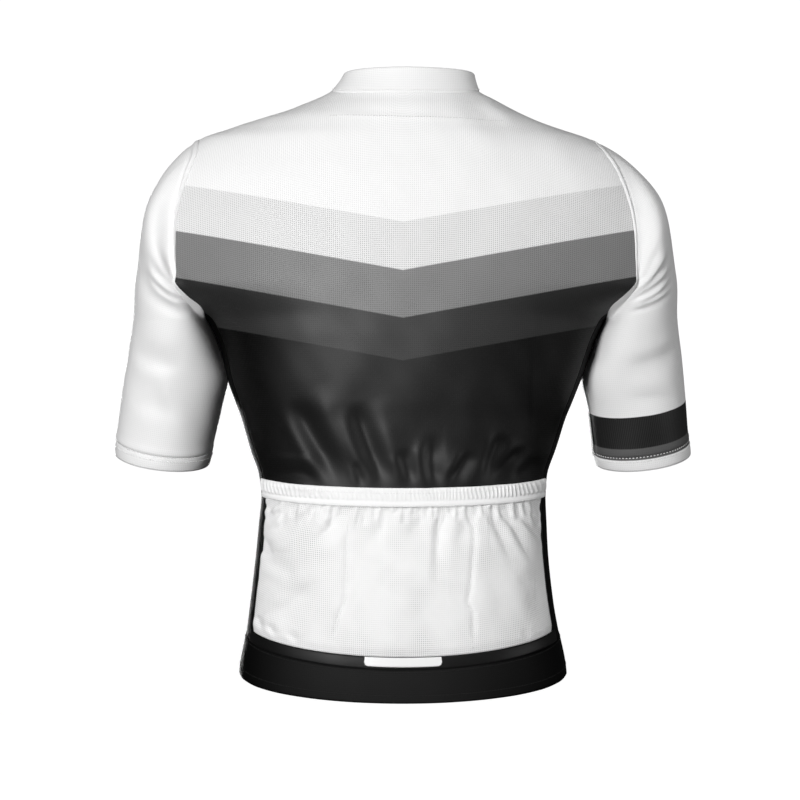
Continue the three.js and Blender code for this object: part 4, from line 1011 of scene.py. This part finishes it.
neck_start = float(zip_angle(ZIP_EDGE, zip_neck_height()))
collar_angles = np.linspace(neck_start, 180 - neck_start, 230)
collar_heights = np.linspace(0, 1, 16)
points, collar_normals = grid_of([collar_surface(collar_angles, height) for height in collar_heights])
rim_turn = 1 - 0.9 * smoothstep(collar_heights, 0.93, 1.0)
collar_lift = 0.35 * smoothstep(collar_heights, 0.0, 0.2) * rim_turn - 0.25 * (1 - rim_turn)
points = points + collar_normals * collar_lift[:, None, None]
dress(sheet_mesh("jersey_collar", points, collar_normals, COLLAR_CLOTH), "white", "collar")

# %% [markdown]
# ## Hem band
# A black gripper band closes the jersey at the hips. It stands a little proud of the panels above it.

# %% Hem band
HEM_MIDDLE, HEM_ROWS = -570.0, 14
hem_start = float(zip_angle(ZIP_EDGE, HEM_MIDDLE))
hem_angles = np.linspace(hem_start, 180 - hem_start, 330)
hem_edge, hem_seam = (level_height(name, folded(hem_angles)) for name in ("hem edge", "hem seam"))
hem_rows = []
for share in np.linspace(0, 1, HEM_ROWS):
    height = mix(hem_edge, hem_seam, share)
    point, normal = body_surface(hem_angles, height)
    swell = 0.4 + 0.7 * math.sin(math.pi * share)
    ripple = 0.35 * np.sin(hem_angles / 3.1) * np.sin(hem_angles / 7.7 + 1) * (1 - share)
    hem_rows.append((point + normal * (swell + ripple)[..., None], normal))
hem_points, hem_normals = grid_of(hem_rows)
dress(sheet_mesh("jersey_hem", hem_points, hem_normals, HEM_CLOTH), "black", "hem_band")

# %% [markdown]
# ## Pockets
# One bag of mesh, stitched down in two lines, makes three pockets. The elastic band gathers its mouth, so
# short wedges hang from the band and longer folds run to the side seams. The wedges are spread by a random
# generator with a fixed seed, and the larger folds are listed.

# %% Relief of the pocket bag
POCKET_FOLDS = [
    (53, -427, 69, -447, 92, -474, 4.0, -3.2),
    (15, -430, 22, -446, 28, -470, 4.5, -1.5),
    (-16, -432, -13, -446, -6, -466, 4.5, -1.4),
    (37, -430, 42, -441, 46, -452, 3.5, -1.2),
    (54, -442, 50, -458, 44, -478, 6, 1.2),
    (125, -424, 133, -430, 143, -437, 3, -2.8),
    (111, -426, 124, -439, 145, -447, 3.5, -3.6),
    (106, -436, 121, -452, 144, -460, 4.5, -3.2),
    (85, -429, 92, -436, 100, -446, 3, -2.2),
    (66, -430, 71, -436, 78, -446, 3, -2.0),
    (152, -466, 144, -474, 132, -482, 5, -3.0),
    (146, -482, 124, -494, 108, -498, 6, -1.8),
    (82, -507, 113, -531, 131, -550, 7, -2.8),
    (140, -500, 122, -514, 100, -520, 8, -1.0),
    (-45, -431, -37, -446, -33, -516, 4.0, -3.0),
    (-63, -431, -63, -448, -54, -474, 5.5, -1.6),
    (-87, -432, -93, -448, -110, -492, 4.0, -2.2),
    (-98, -433, -103, -442, -108, -452, 3.2, -1.9),
    (-103, -432, -110, -450, -130, -490, 3.6, -2.8),
    (-114, -430, -124, -447, -146, -470, 3.6, -2.8),
    (-123, -428, -131, -440, -144, -455, 3.2, -2.2),
    (-130, -425, -136, -432, -146, -441, 3.0, -1.9),
    (-118, -500, -128, -520, -134, -548, 8, -1.3),
    (-84, -490, -94, -520, -102, -552, 8, -1.0),
    (8, -478, 4, -520, 6, -560, 12, 1.0),
    (-20, -500, -22, -530, -26, -566, 9, -0.8),
    (96, -452, 88, -500, 82, -556, 16, 1.9),
    (-76, -452, -80, -500, -88, -556, 16, 1.6),
    (149, -545, 147, -552, 143, -560, 2.4, -1.6),
    (137, -553, 133, -559, 128, -565, 2.4, -1.5),
    (116, -560, 112, -565, 107, -570, 2.6, -1.2),
    (-120, -558, -124, -563, -130, -566, 2.6, -1.0),
]
GATHER_SEED, GATHER_START, GATHER_END, GATHER_LEAN = 7, -138.0, 140, 0.28
gathers = np.random.default_rng(GATHER_SEED)
GATHER_FOLDS = []
x = GATHER_START
while x < GATHER_END:
    length = gathers.uniform(9, 26)
    lean = GATHER_LEAN * x / GATHER_END * length + gathers.uniform(-2, 2)
    GATHER_FOLDS.append((x, -424, x + lean * 0.4, -430 - length * 0.45, x + lean, -430 - length,
                         gathers.uniform(1.7, 2.7), -gathers.uniform(1.2, 2.3)))
    x += gathers.uniform(5.5, 11)
DIVIDERS = [
    [(56, -438), (56, -480), (58, -526), (66, -546), (70, -571)],
    [(-71, -433), (-71, -463), (-67, -516), (-65, -527), (-70, -538), (-71, -574)],
]
DIVIDER_DEPTH, DIVIDER_WIDTH = 1.6, 3.0
BAG_FULLNESS, BAG_HALF_WIDTH, BAG_LAYER, BAG_CLEARANCE = 3.2, 146, 1.4, 0.15


def divider_dip(x, z):
    """Shallow grooves where the bag is stitched down, with fullness between them."""
    dip = np.zeros(np.shape(x))
    for line in DIVIDERS:
        heights = [p[1] for p in line][::-1]
        middle = np.interp(z, heights, [p[0] for p in line][::-1])
        dip -= DIVIDER_DEPTH * np.exp(-((x - middle) / DIVIDER_WIDTH) ** 2)
    return dip


def pocket_relief(x, z, share):
    """Height of the pocket bag over the back panel; share is 0 at its foot and 1 at the band."""
    fullness = BAG_FULLNESS * np.sin(np.pi * np.clip(share, 0, 1)) ** 0.8
    edge = smoothstep(BAG_HALF_WIDTH - np.abs(x), 0, 26)
    folds = fold_relief(POCKET_FOLDS, x, z) + fold_relief(GATHER_FOLDS, x, z)
    raised = fullness * (0.1 + 0.9 * edge) + divider_dip(x, z) * smoothstep(share, 0.02, 0.2) + folds
    return np.maximum(BAG_CLEARANCE, BAG_LAYER + raised + 0.8 * drape(x, z))


def layer_grid(low, high, rows, columns, start=SIDE_SEAM_BACK, end=180 - SIDE_SEAM_BACK):
    """Points of the back panel between two seam lines, and the share of the way up."""
    angle = np.linspace(start, end, columns)[None, :].repeat(rows, axis=0)
    share = np.linspace(0, 1, rows)[:, None].repeat(columns, axis=1)
    z = mix(level_height(low, folded(angle)), level_height(high, folded(angle)), share)
    point, normal = body_surface(angle, z)
    return point, normal, share

# %% Pocket bag
BAG_EDGE = 24
points, normals, share = layer_grid("pocket foot", "band foot", 92, 230, BAG_EDGE, 180 - BAG_EDGE)
relief = 0.5 + pocket_relief(points[..., 0], points[..., 2], share) * smoothstep(share, -0.02, 0.06)
points = points + normals * relief[..., None]
dress(sheet_mesh("pocket_bag_cloth", points, normals, MESH_CLOTH), "mesh", "pocket_bag")
pocket_points, pocket_normals = points, normals

# %% [markdown]
# ## Elastic band, satin tape and reflective strip
# The band at the pocket mouths is gathered elastic: its ribs are unevenly spaced, and deeper at the sides,
# where it is pulled least. Below the pockets a satin tape covers the seam, with a short reflective strip
# sewn on it.

# %% Elastic band
RIB_SPACING, RIB_RISE, BAND_LAYER = 4.4, 1.1, 3.0
points, normals, share = layer_grid("band foot", "band top", 20, 800)
x = points[..., 0]
spacing = RIB_SPACING + 0.8 * np.sin(x / 37) + 0.5 * np.sin(x / 13 + 1)
phase = np.cumsum(np.abs(np.diff(x, axis=1, prepend=x[:, :1])) / spacing, axis=1) * 2 * np.pi
wobble = 0.8 * np.sin(x / 8 + 5 * share)
sides = 0.4 + 0.6 * smoothstep(np.abs(x), 30, 110)
rib = (0.5 + 0.5 * np.sin(phase + wobble)) ** 1.6
ribbed = np.clip((share - 0.28) / 0.72, 0, 1)
swell = 0.8 * np.sin(np.pi * ribbed) ** 0.4
foot_roll = 1.0 * np.sin(np.pi * np.clip(share / 0.3, 0, 1)) ** 0.7
fade = smoothstep(ribbed, 0.02, 0.2) * smoothstep(1 - ribbed, 0.03, 0.2)
raise_band = BAND_LAYER + swell + foot_roll + RIB_RISE * sides * rib * fade
points = points + normals * raise_band[..., None]
dress(sheet_mesh("pocket_elastic", points, normals, ELASTIC_CLOTH), "elastic",
      "pocket_band")
band_points, band_normals = points, normals

# %% Satin tape and reflective strip
TAPE_LAYER, STRIP_LAYER = 1.3, 2.7
points, normals, share = layer_grid("hem seam", "pocket foot", 8, 200)
tape_relief = TAPE_LAYER + 0.5 * np.sin(np.pi * share) + 0.2 * np.sin(points[..., 0] / 9)
points = points + normals * tape_relief[..., None]
dress(sheet_mesh("satin_tape_cloth", points, normals, TAPE_CLOTH), "satin", "satin_tape")
STRIP_HALF_ANGLE, STRIP_CORNER, STRIP_FOOT_INSET, STRIP_TOP_INSET = 13.2, 4.0, 3.0, 0.6
points, normals, share = layer_grid("hem seam", "pocket foot", 9, 90,
                                    90 - STRIP_HALF_ANGLE, 90 + STRIP_HALF_ANGLE)
strip_half = np.abs(points[0, :, 0]).max()
into_corner = np.clip(np.abs(points[0, :, 0]) - strip_half + STRIP_CORNER, 0, STRIP_CORNER)
corner_rise = STRIP_CORNER - np.sqrt(STRIP_CORNER**2 - into_corner**2)
height = points[..., 2].copy()
points[..., 2] = mix(height[:1] + STRIP_FOOT_INSET + corner_rise, height[-1:] - STRIP_TOP_INSET, share)
points = points + normals * STRIP_LAYER
dress(sheet_mesh("reflective_strip_film", points, normals, STRIP_FILM), "reflector",
      "reflective_strip")

# %% [markdown]
# ## Zip
# The front zip has a cloth tape on each side, a closed row of coil teeth, and a slider with a pull tab. The
# tapes reach under the front panels, where they are sewn. Slider and tab keep their CAD shape, because that
# is already exact and the tab has to swing on the slider's bar.

# %% Zip tapes
BODY_PLACES, COLLAR_PLACES, ZIP_MIDDLE = 150, 12, -400.0


def zip_column(x, inward):
    """Points up the middle of the front and the collar, at a distance from the zip's middle."""
    foot, neck = float(level_height("hem edge", -90.0)), float(neck_height(-89.0)) - 2
    heights = np.linspace(foot, neck, BODY_PLACES)
    point, normal = body_surface(np.full(heights.shape, float(zip_angle(abs(x), ZIP_MIDDLE))), heights)
    up_collar = np.linspace(0, 0.97, COLLAR_PLACES)
    edge, edge_normal = grid_of([collar_surface(np.array([neck_start]), height) for height in up_collar])
    points = np.concatenate([point, edge[:, 0]])
    normals = np.concatenate([normal, edge_normal[:, 0]]) * [0, 1, 1]
    points[:, 0] = x
    normals = unit(normals)
    return points - normals * inward, normals


TAPE_SECTION = [(0.3, 0.5), (3.0, 0.5), (6.0, 0.6), (7.6, 1.1), (9.0, 1.6), (11.0, 1.9), (13.0, 2.0)]
for side, name in SIDES:
    lines = grid_of([zip_column(side * x, inward) for x, inward in TAPE_SECTION])
    points, normals = (line.transpose(1, 0, 2) for line in lines)
    dress(sheet_mesh(f"zip_tape_cloth_{name}", points, normals, TAPE_CLOTH), "black",
          f"zip_tape_{name}")

# %% [markdown]
# ## Geometry Nodes for teeth and stitches
# Sewing is the same small stitch again and again along a seam, and a zip is the same tooth. One node tree
# does both: it turns a line into evenly spaced points, puts a rounded bar on each, turned along the line,
# and moves every second one to the other side. Realize Instances makes it a real mesh at the end.

# %% Tree for a row of rounded bars
def bar_row_tree():
    """Node tree that turns lines into rows of rounded bars."""
    tree = bpy.data.node_groups.new("row of rounded bars", "GeometryNodeTree")
    tree.interface.new_socket("Geometry", in_out="INPUT", socket_type="NodeSocketGeometry")
    for name, value in (("Spacing", 0.003), ("Length", 0.002), ("Radius", 0.0003), ("Sideways", 0.0)):
        socket = tree.interface.new_socket(name, in_out="INPUT", socket_type="NodeSocketFloat")
        socket.default_value = value
    tree.interface.new_socket("Finish", in_out="INPUT", socket_type="NodeSocketMaterial")
    tree.interface.new_socket("Geometry", in_out="OUTPUT", socket_type="NodeSocketGeometry")

    def node(kind, settings=None, links=None):
        made = tree.nodes.new(kind)
        for setting, value in (settings or {}).items():
            setattr(made, setting, value)
        for socket, value in (links or {}).items():
            if isinstance(value, bpy.types.NodeSocket):
                tree.links.new(value, made.inputs[socket])
            else:
                made.inputs[socket].default_value = value
        return made

    given = node("NodeGroupInput").outputs
    curve = node("GeometryNodeMeshToCurve", links={"Mesh": given["Geometry"]})
    even = node("GeometryNodeResampleCurve", {"mode": "LENGTH"},
                {"Curve": curve.outputs[0], "Length": given["Spacing"]})
    ball = node("GeometryNodeMeshUVSphere", links={"Segments": 6, "Rings": 4, "Radius": 1.0})
    half = node("ShaderNodeMath", {"operation": "MULTIPLY"}, {0: given["Length"], 1: 0.5})
    size = node("ShaderNodeCombineXYZ", links={
        "X": given["Radius"], "Y": given["Radius"], "Z": half.outputs[0]})
    bar = node("GeometryNodeTransform", links={"Geometry": ball.outputs["Mesh"], "Scale": size.outputs[0]})
    tangent = node("GeometryNodeInputTangent")
    turned = node("FunctionNodeAlignRotationToVector", {"axis": "Z"}, {"Vector": tangent.outputs[0]})
    index = node("GeometryNodeInputIndex")
    second = node("ShaderNodeMath", {"operation": "MODULO"}, {0: index.outputs[0], 1: 2.0})
    shift = node("ShaderNodeMath", {"operation": "MULTIPLY_ADD"}, {0: second.outputs[0], 1: 2.0, 2: -1.0})
    aside = node("ShaderNodeMath", {"operation": "MULTIPLY"}, {0: shift.outputs[0], 1: given["Sideways"]})
    offset = node("ShaderNodeCombineXYZ", links={"X": aside.outputs[0]})
    moved = node("GeometryNodeSetPosition", links={
        "Geometry": even.outputs[0], "Offset": offset.outputs[0]})
    row = node("GeometryNodeInstanceOnPoints", links={
        "Points": moved.outputs[0], "Instance": bar.outputs[0], "Rotation": turned.outputs[0]})
    real = node("GeometryNodeRealizeInstances", links={"Geometry": row.outputs[0]})
    coloured = node("GeometryNodeSetMaterial", links={
        "Geometry": real.outputs[0], "Material": given["Finish"]})
    out = node("NodeGroupOutput")
    tree.links.new(coloured.outputs[0], out.inputs["Geometry"])
    return tree


BAR_ROW = bar_row_tree()


def bar_rows(name, lines, finish, slot, **sizes):
    """Rows of bars along lines given in millimetres, as one plain mesh on the garment."""
    vertices, edges = [], []
    for line in lines:
        start = len(vertices)
        vertices += [tuple(float(v) * MM for v in point) for point in line]
        edges += [(start + k, start + k + 1) for k in range(len(line) - 1)]
    path = bpy.data.meshes.new(f"{name}_path")
    path.from_pydata(vertices, edges, [])
    carrier = bpy.data.objects.new(f"{name}_path", path)
    bpy.context.scene.collection.objects.link(carrier)
    modifier = carrier.modifiers.new("row", "NODES")
    modifier.node_group = BAR_ROW
    items = BAR_ROW.interface.items_tree
    sockets = {item.name: item.identifier for item in items if item.in_out == "INPUT"}
    for socket, value in sizes.items():
        modifier[sockets[socket]] = value * MM
    modifier[sockets["Finish"]] = FINISHES[finish]
    graph = bpy.context.evaluated_depsgraph_get()
    mesh = bpy.data.meshes.new_from_object(carrier.evaluated_get(graph))
    bpy.data.objects.remove(carrier)
    mesh.name = name
    mesh.polygons.foreach_set("use_smooth", np.ones(len(mesh.polygons), bool))
    piece = bpy.data.objects.new(name, mesh)
    bpy.context.scene.collection.objects.link(piece)
    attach(piece, "garment")
    print(f"{name}: {len(mesh.polygons)} faces")
    return piece

# %% [markdown]
# ## Zip teeth
# The closed coil is two rows of small rounded teeth up the zip, each second one a little to the side, so
# that the two halves seem to hold each other. The rows reach a little way in under the slider.

# %% Zip teeth
TEETH_RISE, TEETH_ASIDE, UNDER_SLIDER, NEAR_MIDDLE = 0.3, 0.9, 2, 0.0001
TOOTH = dict(Spacing=1.5, Length=1.2, Radius=0.95, Sideways=0.45)
tooth_line, _ = zip_column(NEAR_MIDDLE, -TEETH_RISE)
slider_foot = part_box("zip_slider")[0][2] / MM + UNDER_SLIDER
tooth_line = tooth_line[tooth_line[:, 2] < slider_foot]
teeth = [[(x, p[1], p[2]) for p in tooth_line] for x in (-TEETH_ASIDE, TEETH_ASIDE)]
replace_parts(bar_rows("zip_teeth", teeth, "teeth", "zip_plastic", **TOOTH), "zip_chain")

# %% [markdown]
# ## Sewing
# Stitch lines follow the seams: along the elastic band, down the pocket dividers, beside the zip, at the
# collar's foot, round the cuffs and along the hem. A grey line crosses the upper back under the neck.

# %% Stitch lines
def lifted(points, normals, row, rise, step):
    """Line along one row of a piece's grid, a little above its surface."""
    return (points[row] + normals[row] * rise)[::step]


def on_pocket(places, rise):
    """Line through [x, z] places on the pocket bag."""
    surface = (pocket_points + pocket_normals * rise).reshape(-1, 3)
    flat = pocket_points[..., [0, 2]].reshape(-1, 2)
    return [surface[int(np.argmin(((flat - place) ** 2).sum(axis=1)))] for place in places]


def along(places, step=3.0):
    """Even places on a line through a few given ones."""
    places = np.array(places, float)
    length = np.concatenate([[0], np.cumsum(np.hypot(*np.diff(places, axis=0).T))])
    at = np.arange(0, length[-1], step)
    return np.stack([np.interp(at, length, places[:, 0]), np.interp(at, length, places[:, 1])], axis=-1)


ZIP_STITCH, PRINT_DARK, ZIP_STITCH_TOP, THREAD_RISE = 10.0, -193.0, -90, 0.1


def beside_zip(low, high):
    """Stitch lines on the fronts, one on each side of the zip, between two heights."""
    heights = np.linspace(low, high, int((high - low) / 4))
    angle = zip_angle(ZIP_STITCH, heights)
    edges = [body_surface(turned, heights) for turned in (angle, 180 - angle)]
    return [edge + normal * THREAD_RISE for edge, normal in edges]


STITCH = dict(Spacing=3.0, Length=2.4, Radius=0.32, Sideways=0.0)
CUFF_STITCH = dict(Spacing=3.7, Length=2.2, Radius=0.55, Sideways=0.0)
NECK_LINE = np.linspace(62, 131, 40), np.linspace(-30.5, -35, 40)
white_lines = [lifted(band_points, band_normals, 1, THREAD_RISE, 6),
               lifted(band_points, band_normals, 14, 0.0, 6)]
white_lines += [on_pocket(along(line), THREAD_RISE) for line in DIVIDERS]
white_lines += beside_zip(PRINT_DARK, ZIP_STITCH_TOP)
cuff_lines = []
for side in (1, -1):
    points, normals, cuff_points, cuff_normals = sleeve_rings[side]
    for ring in (points[-1] + normals[-1] * 2 * THREAD_RISE, cuff_points[2] + cuff_normals[2] * THREAD_RISE):
        cuff_lines.append(np.concatenate([ring, ring[:1]]))
white_lines.append(collar_point(collar_angles, 0.1) + collar_normals[1] * 0.8)
bar_rows("white_sewing", white_lines, "white thread", "white_knit", **STITCH)
bar_rows("cuff_sewing", cuff_lines, "white thread", "white_knit", **CUFF_STITCH)
neck_points, neck_normals = body_surface(*NECK_LINE)
bar_rows("neck_sewing", [neck_points + neck_normals * THREAD_RISE], "grey thread", "white_knit", **STITCH)

# %% Dark stitch lines
black_lines = [lifted(hem_points, hem_normals, row, THREAD_RISE, 2) for row in (3, 12)]
black_lines += beside_zip(float(level_height("hem seam", -90.0)) + 2, PRINT_DARK)
bar_rows("black_sewing", black_lines, "black thread", "black_knit", **STITCH)

# %% [markdown]
# ## Slider and pull tab
# These two keep the CAD mesh and only take the lacquered finish.

# %% Finish of the slider and tab
for name in ("zip_slider", "zip_pull_tab"):
    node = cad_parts[name]
    node.data.materials.clear()
    node.data.materials.append(FINISHES["metal"])

# %% [markdown]
# ## Floor, light and camera
# The photograph is a catalogue picture on white. A pale floor curves up round the jersey. The key lamp
# stands on the wearer's left beside the camera, one lamp hangs above, a weaker one fills the other side,
# and one lights the front.

# %% Studio
FLOOR_LEVEL, WALL_RADIUS, WALL_BEND, WALL_TOP, WALL_TURNS = -1.0, 6.0, 1.2, 6.0, 64
FLOOR_TONE, FLOOR_GLOW, SKY_LIGHT = 0.4, 0.96, 0.06


def backdrop():
    """Pale round floor that curves up into a wall on every side, outside the lamps."""
    profile = [(0.001, FLOOR_LEVEL), (WALL_RADIUS - WALL_BEND, FLOOR_LEVEL)]
    profile += [(WALL_RADIUS - WALL_BEND + WALL_BEND * math.sin(math.radians(a)),
                 FLOOR_LEVEL + WALL_BEND * (1 - math.cos(math.radians(a)))) for a in range(10, 91, 10)]
    profile += [(WALL_RADIUS, WALL_TOP)]
    turns = [2 * math.pi * k / WALL_TURNS for k in range(WALL_TURNS)]
    vertices = [(r * math.cos(turn), r * math.sin(turn), z) for r, z in profile for turn in turns]
    faces = []
    for ring in range(0, len(vertices) - WALL_TURNS, WALL_TURNS):
        for k in range(WALL_TURNS):
            here, beside = ring + k, ring + (k + 1) % WALL_TURNS
            faces.append((here + WALL_TURNS, beside + WALL_TURNS, beside, here))
    mesh = bpy.data.meshes.new("floor")
    mesh.from_pydata(vertices, [], faces)
    mesh.polygons.foreach_set("use_smooth", [True] * len(faces))
    floor = bpy.data.objects.new("floor", mesh)
    bpy.context.scene.collection.objects.link(floor)
    finish = Finish("pale floor", Roughness=0.9, Specular_IOR_Level=0.0)
    finish.shader.inputs["Base Color"].default_value = (FLOOR_TONE, FLOOR_TONE, FLOOR_TONE, 1)
    finish.shader.inputs["Emission Color"].default_value = (1, 1, 1, 1)
    finish.shader.inputs["Emission Strength"].default_value = FLOOR_GLOW
    mesh.materials.append(finish.material)
    floor.visible_diffuse = False
    floor.visible_glossy = False


def lamp(name, place, target, size, power):
    """Round area lamp that looks at a target."""
    light = bpy.data.lights.new(name, "AREA")
    light.shape, light.size, light.energy = "DISK", size, power
    holder = bpy.data.objects.new(name, light)
    bpy.context.scene.collection.objects.link(holder)
    holder.location = place
    direction = np.array(target, float) - np.array(place, float)
    holder.rotation_euler = Vector(direction).to_track_quat("-Z", "Y").to_euler()


backdrop()
lamp("key lamp", (1.5, 2.85, -0.1), (0, 0, -0.3), size=1.0, power=84)
lamp("top lamp", (0.2, 1.9, 2.1), (0, 0, -0.1), size=1.2, power=27)
lamp("fill lamp", (-3.0, 1.1, -0.5), (0, 0, -0.3), size=1.6, power=29)
lamp("front lamp", (0.6, -3.2, -0.5), (0, 0, -0.3), size=1.6, power=95)
world = bpy.data.worlds.new("studio")
world.use_nodes = True
world.node_tree.nodes["Background"].inputs[0].default_value = (1, 1, 1, 1)
world.node_tree.nodes["Background"].inputs[1].default_value = SKY_LIGHT
bpy.context.scene.world = world
bpy.context.scene.view_settings.view_transform = "Standard"

# %% Camera
EYE, SENSOR, LENS = (0.00315, 3.0, -0.323), 36, 128.57
camera_data = bpy.data.cameras.new("camera")
camera_data.sensor_width, camera_data.lens = SENSOR, LENS
camera = bpy.data.objects.new("camera", camera_data)
bpy.context.scene.collection.objects.link(camera)
camera.location = EYE
camera.rotation_euler = (math.radians(90), 0, math.radians(180))
bpy.context.scene.camera = camera
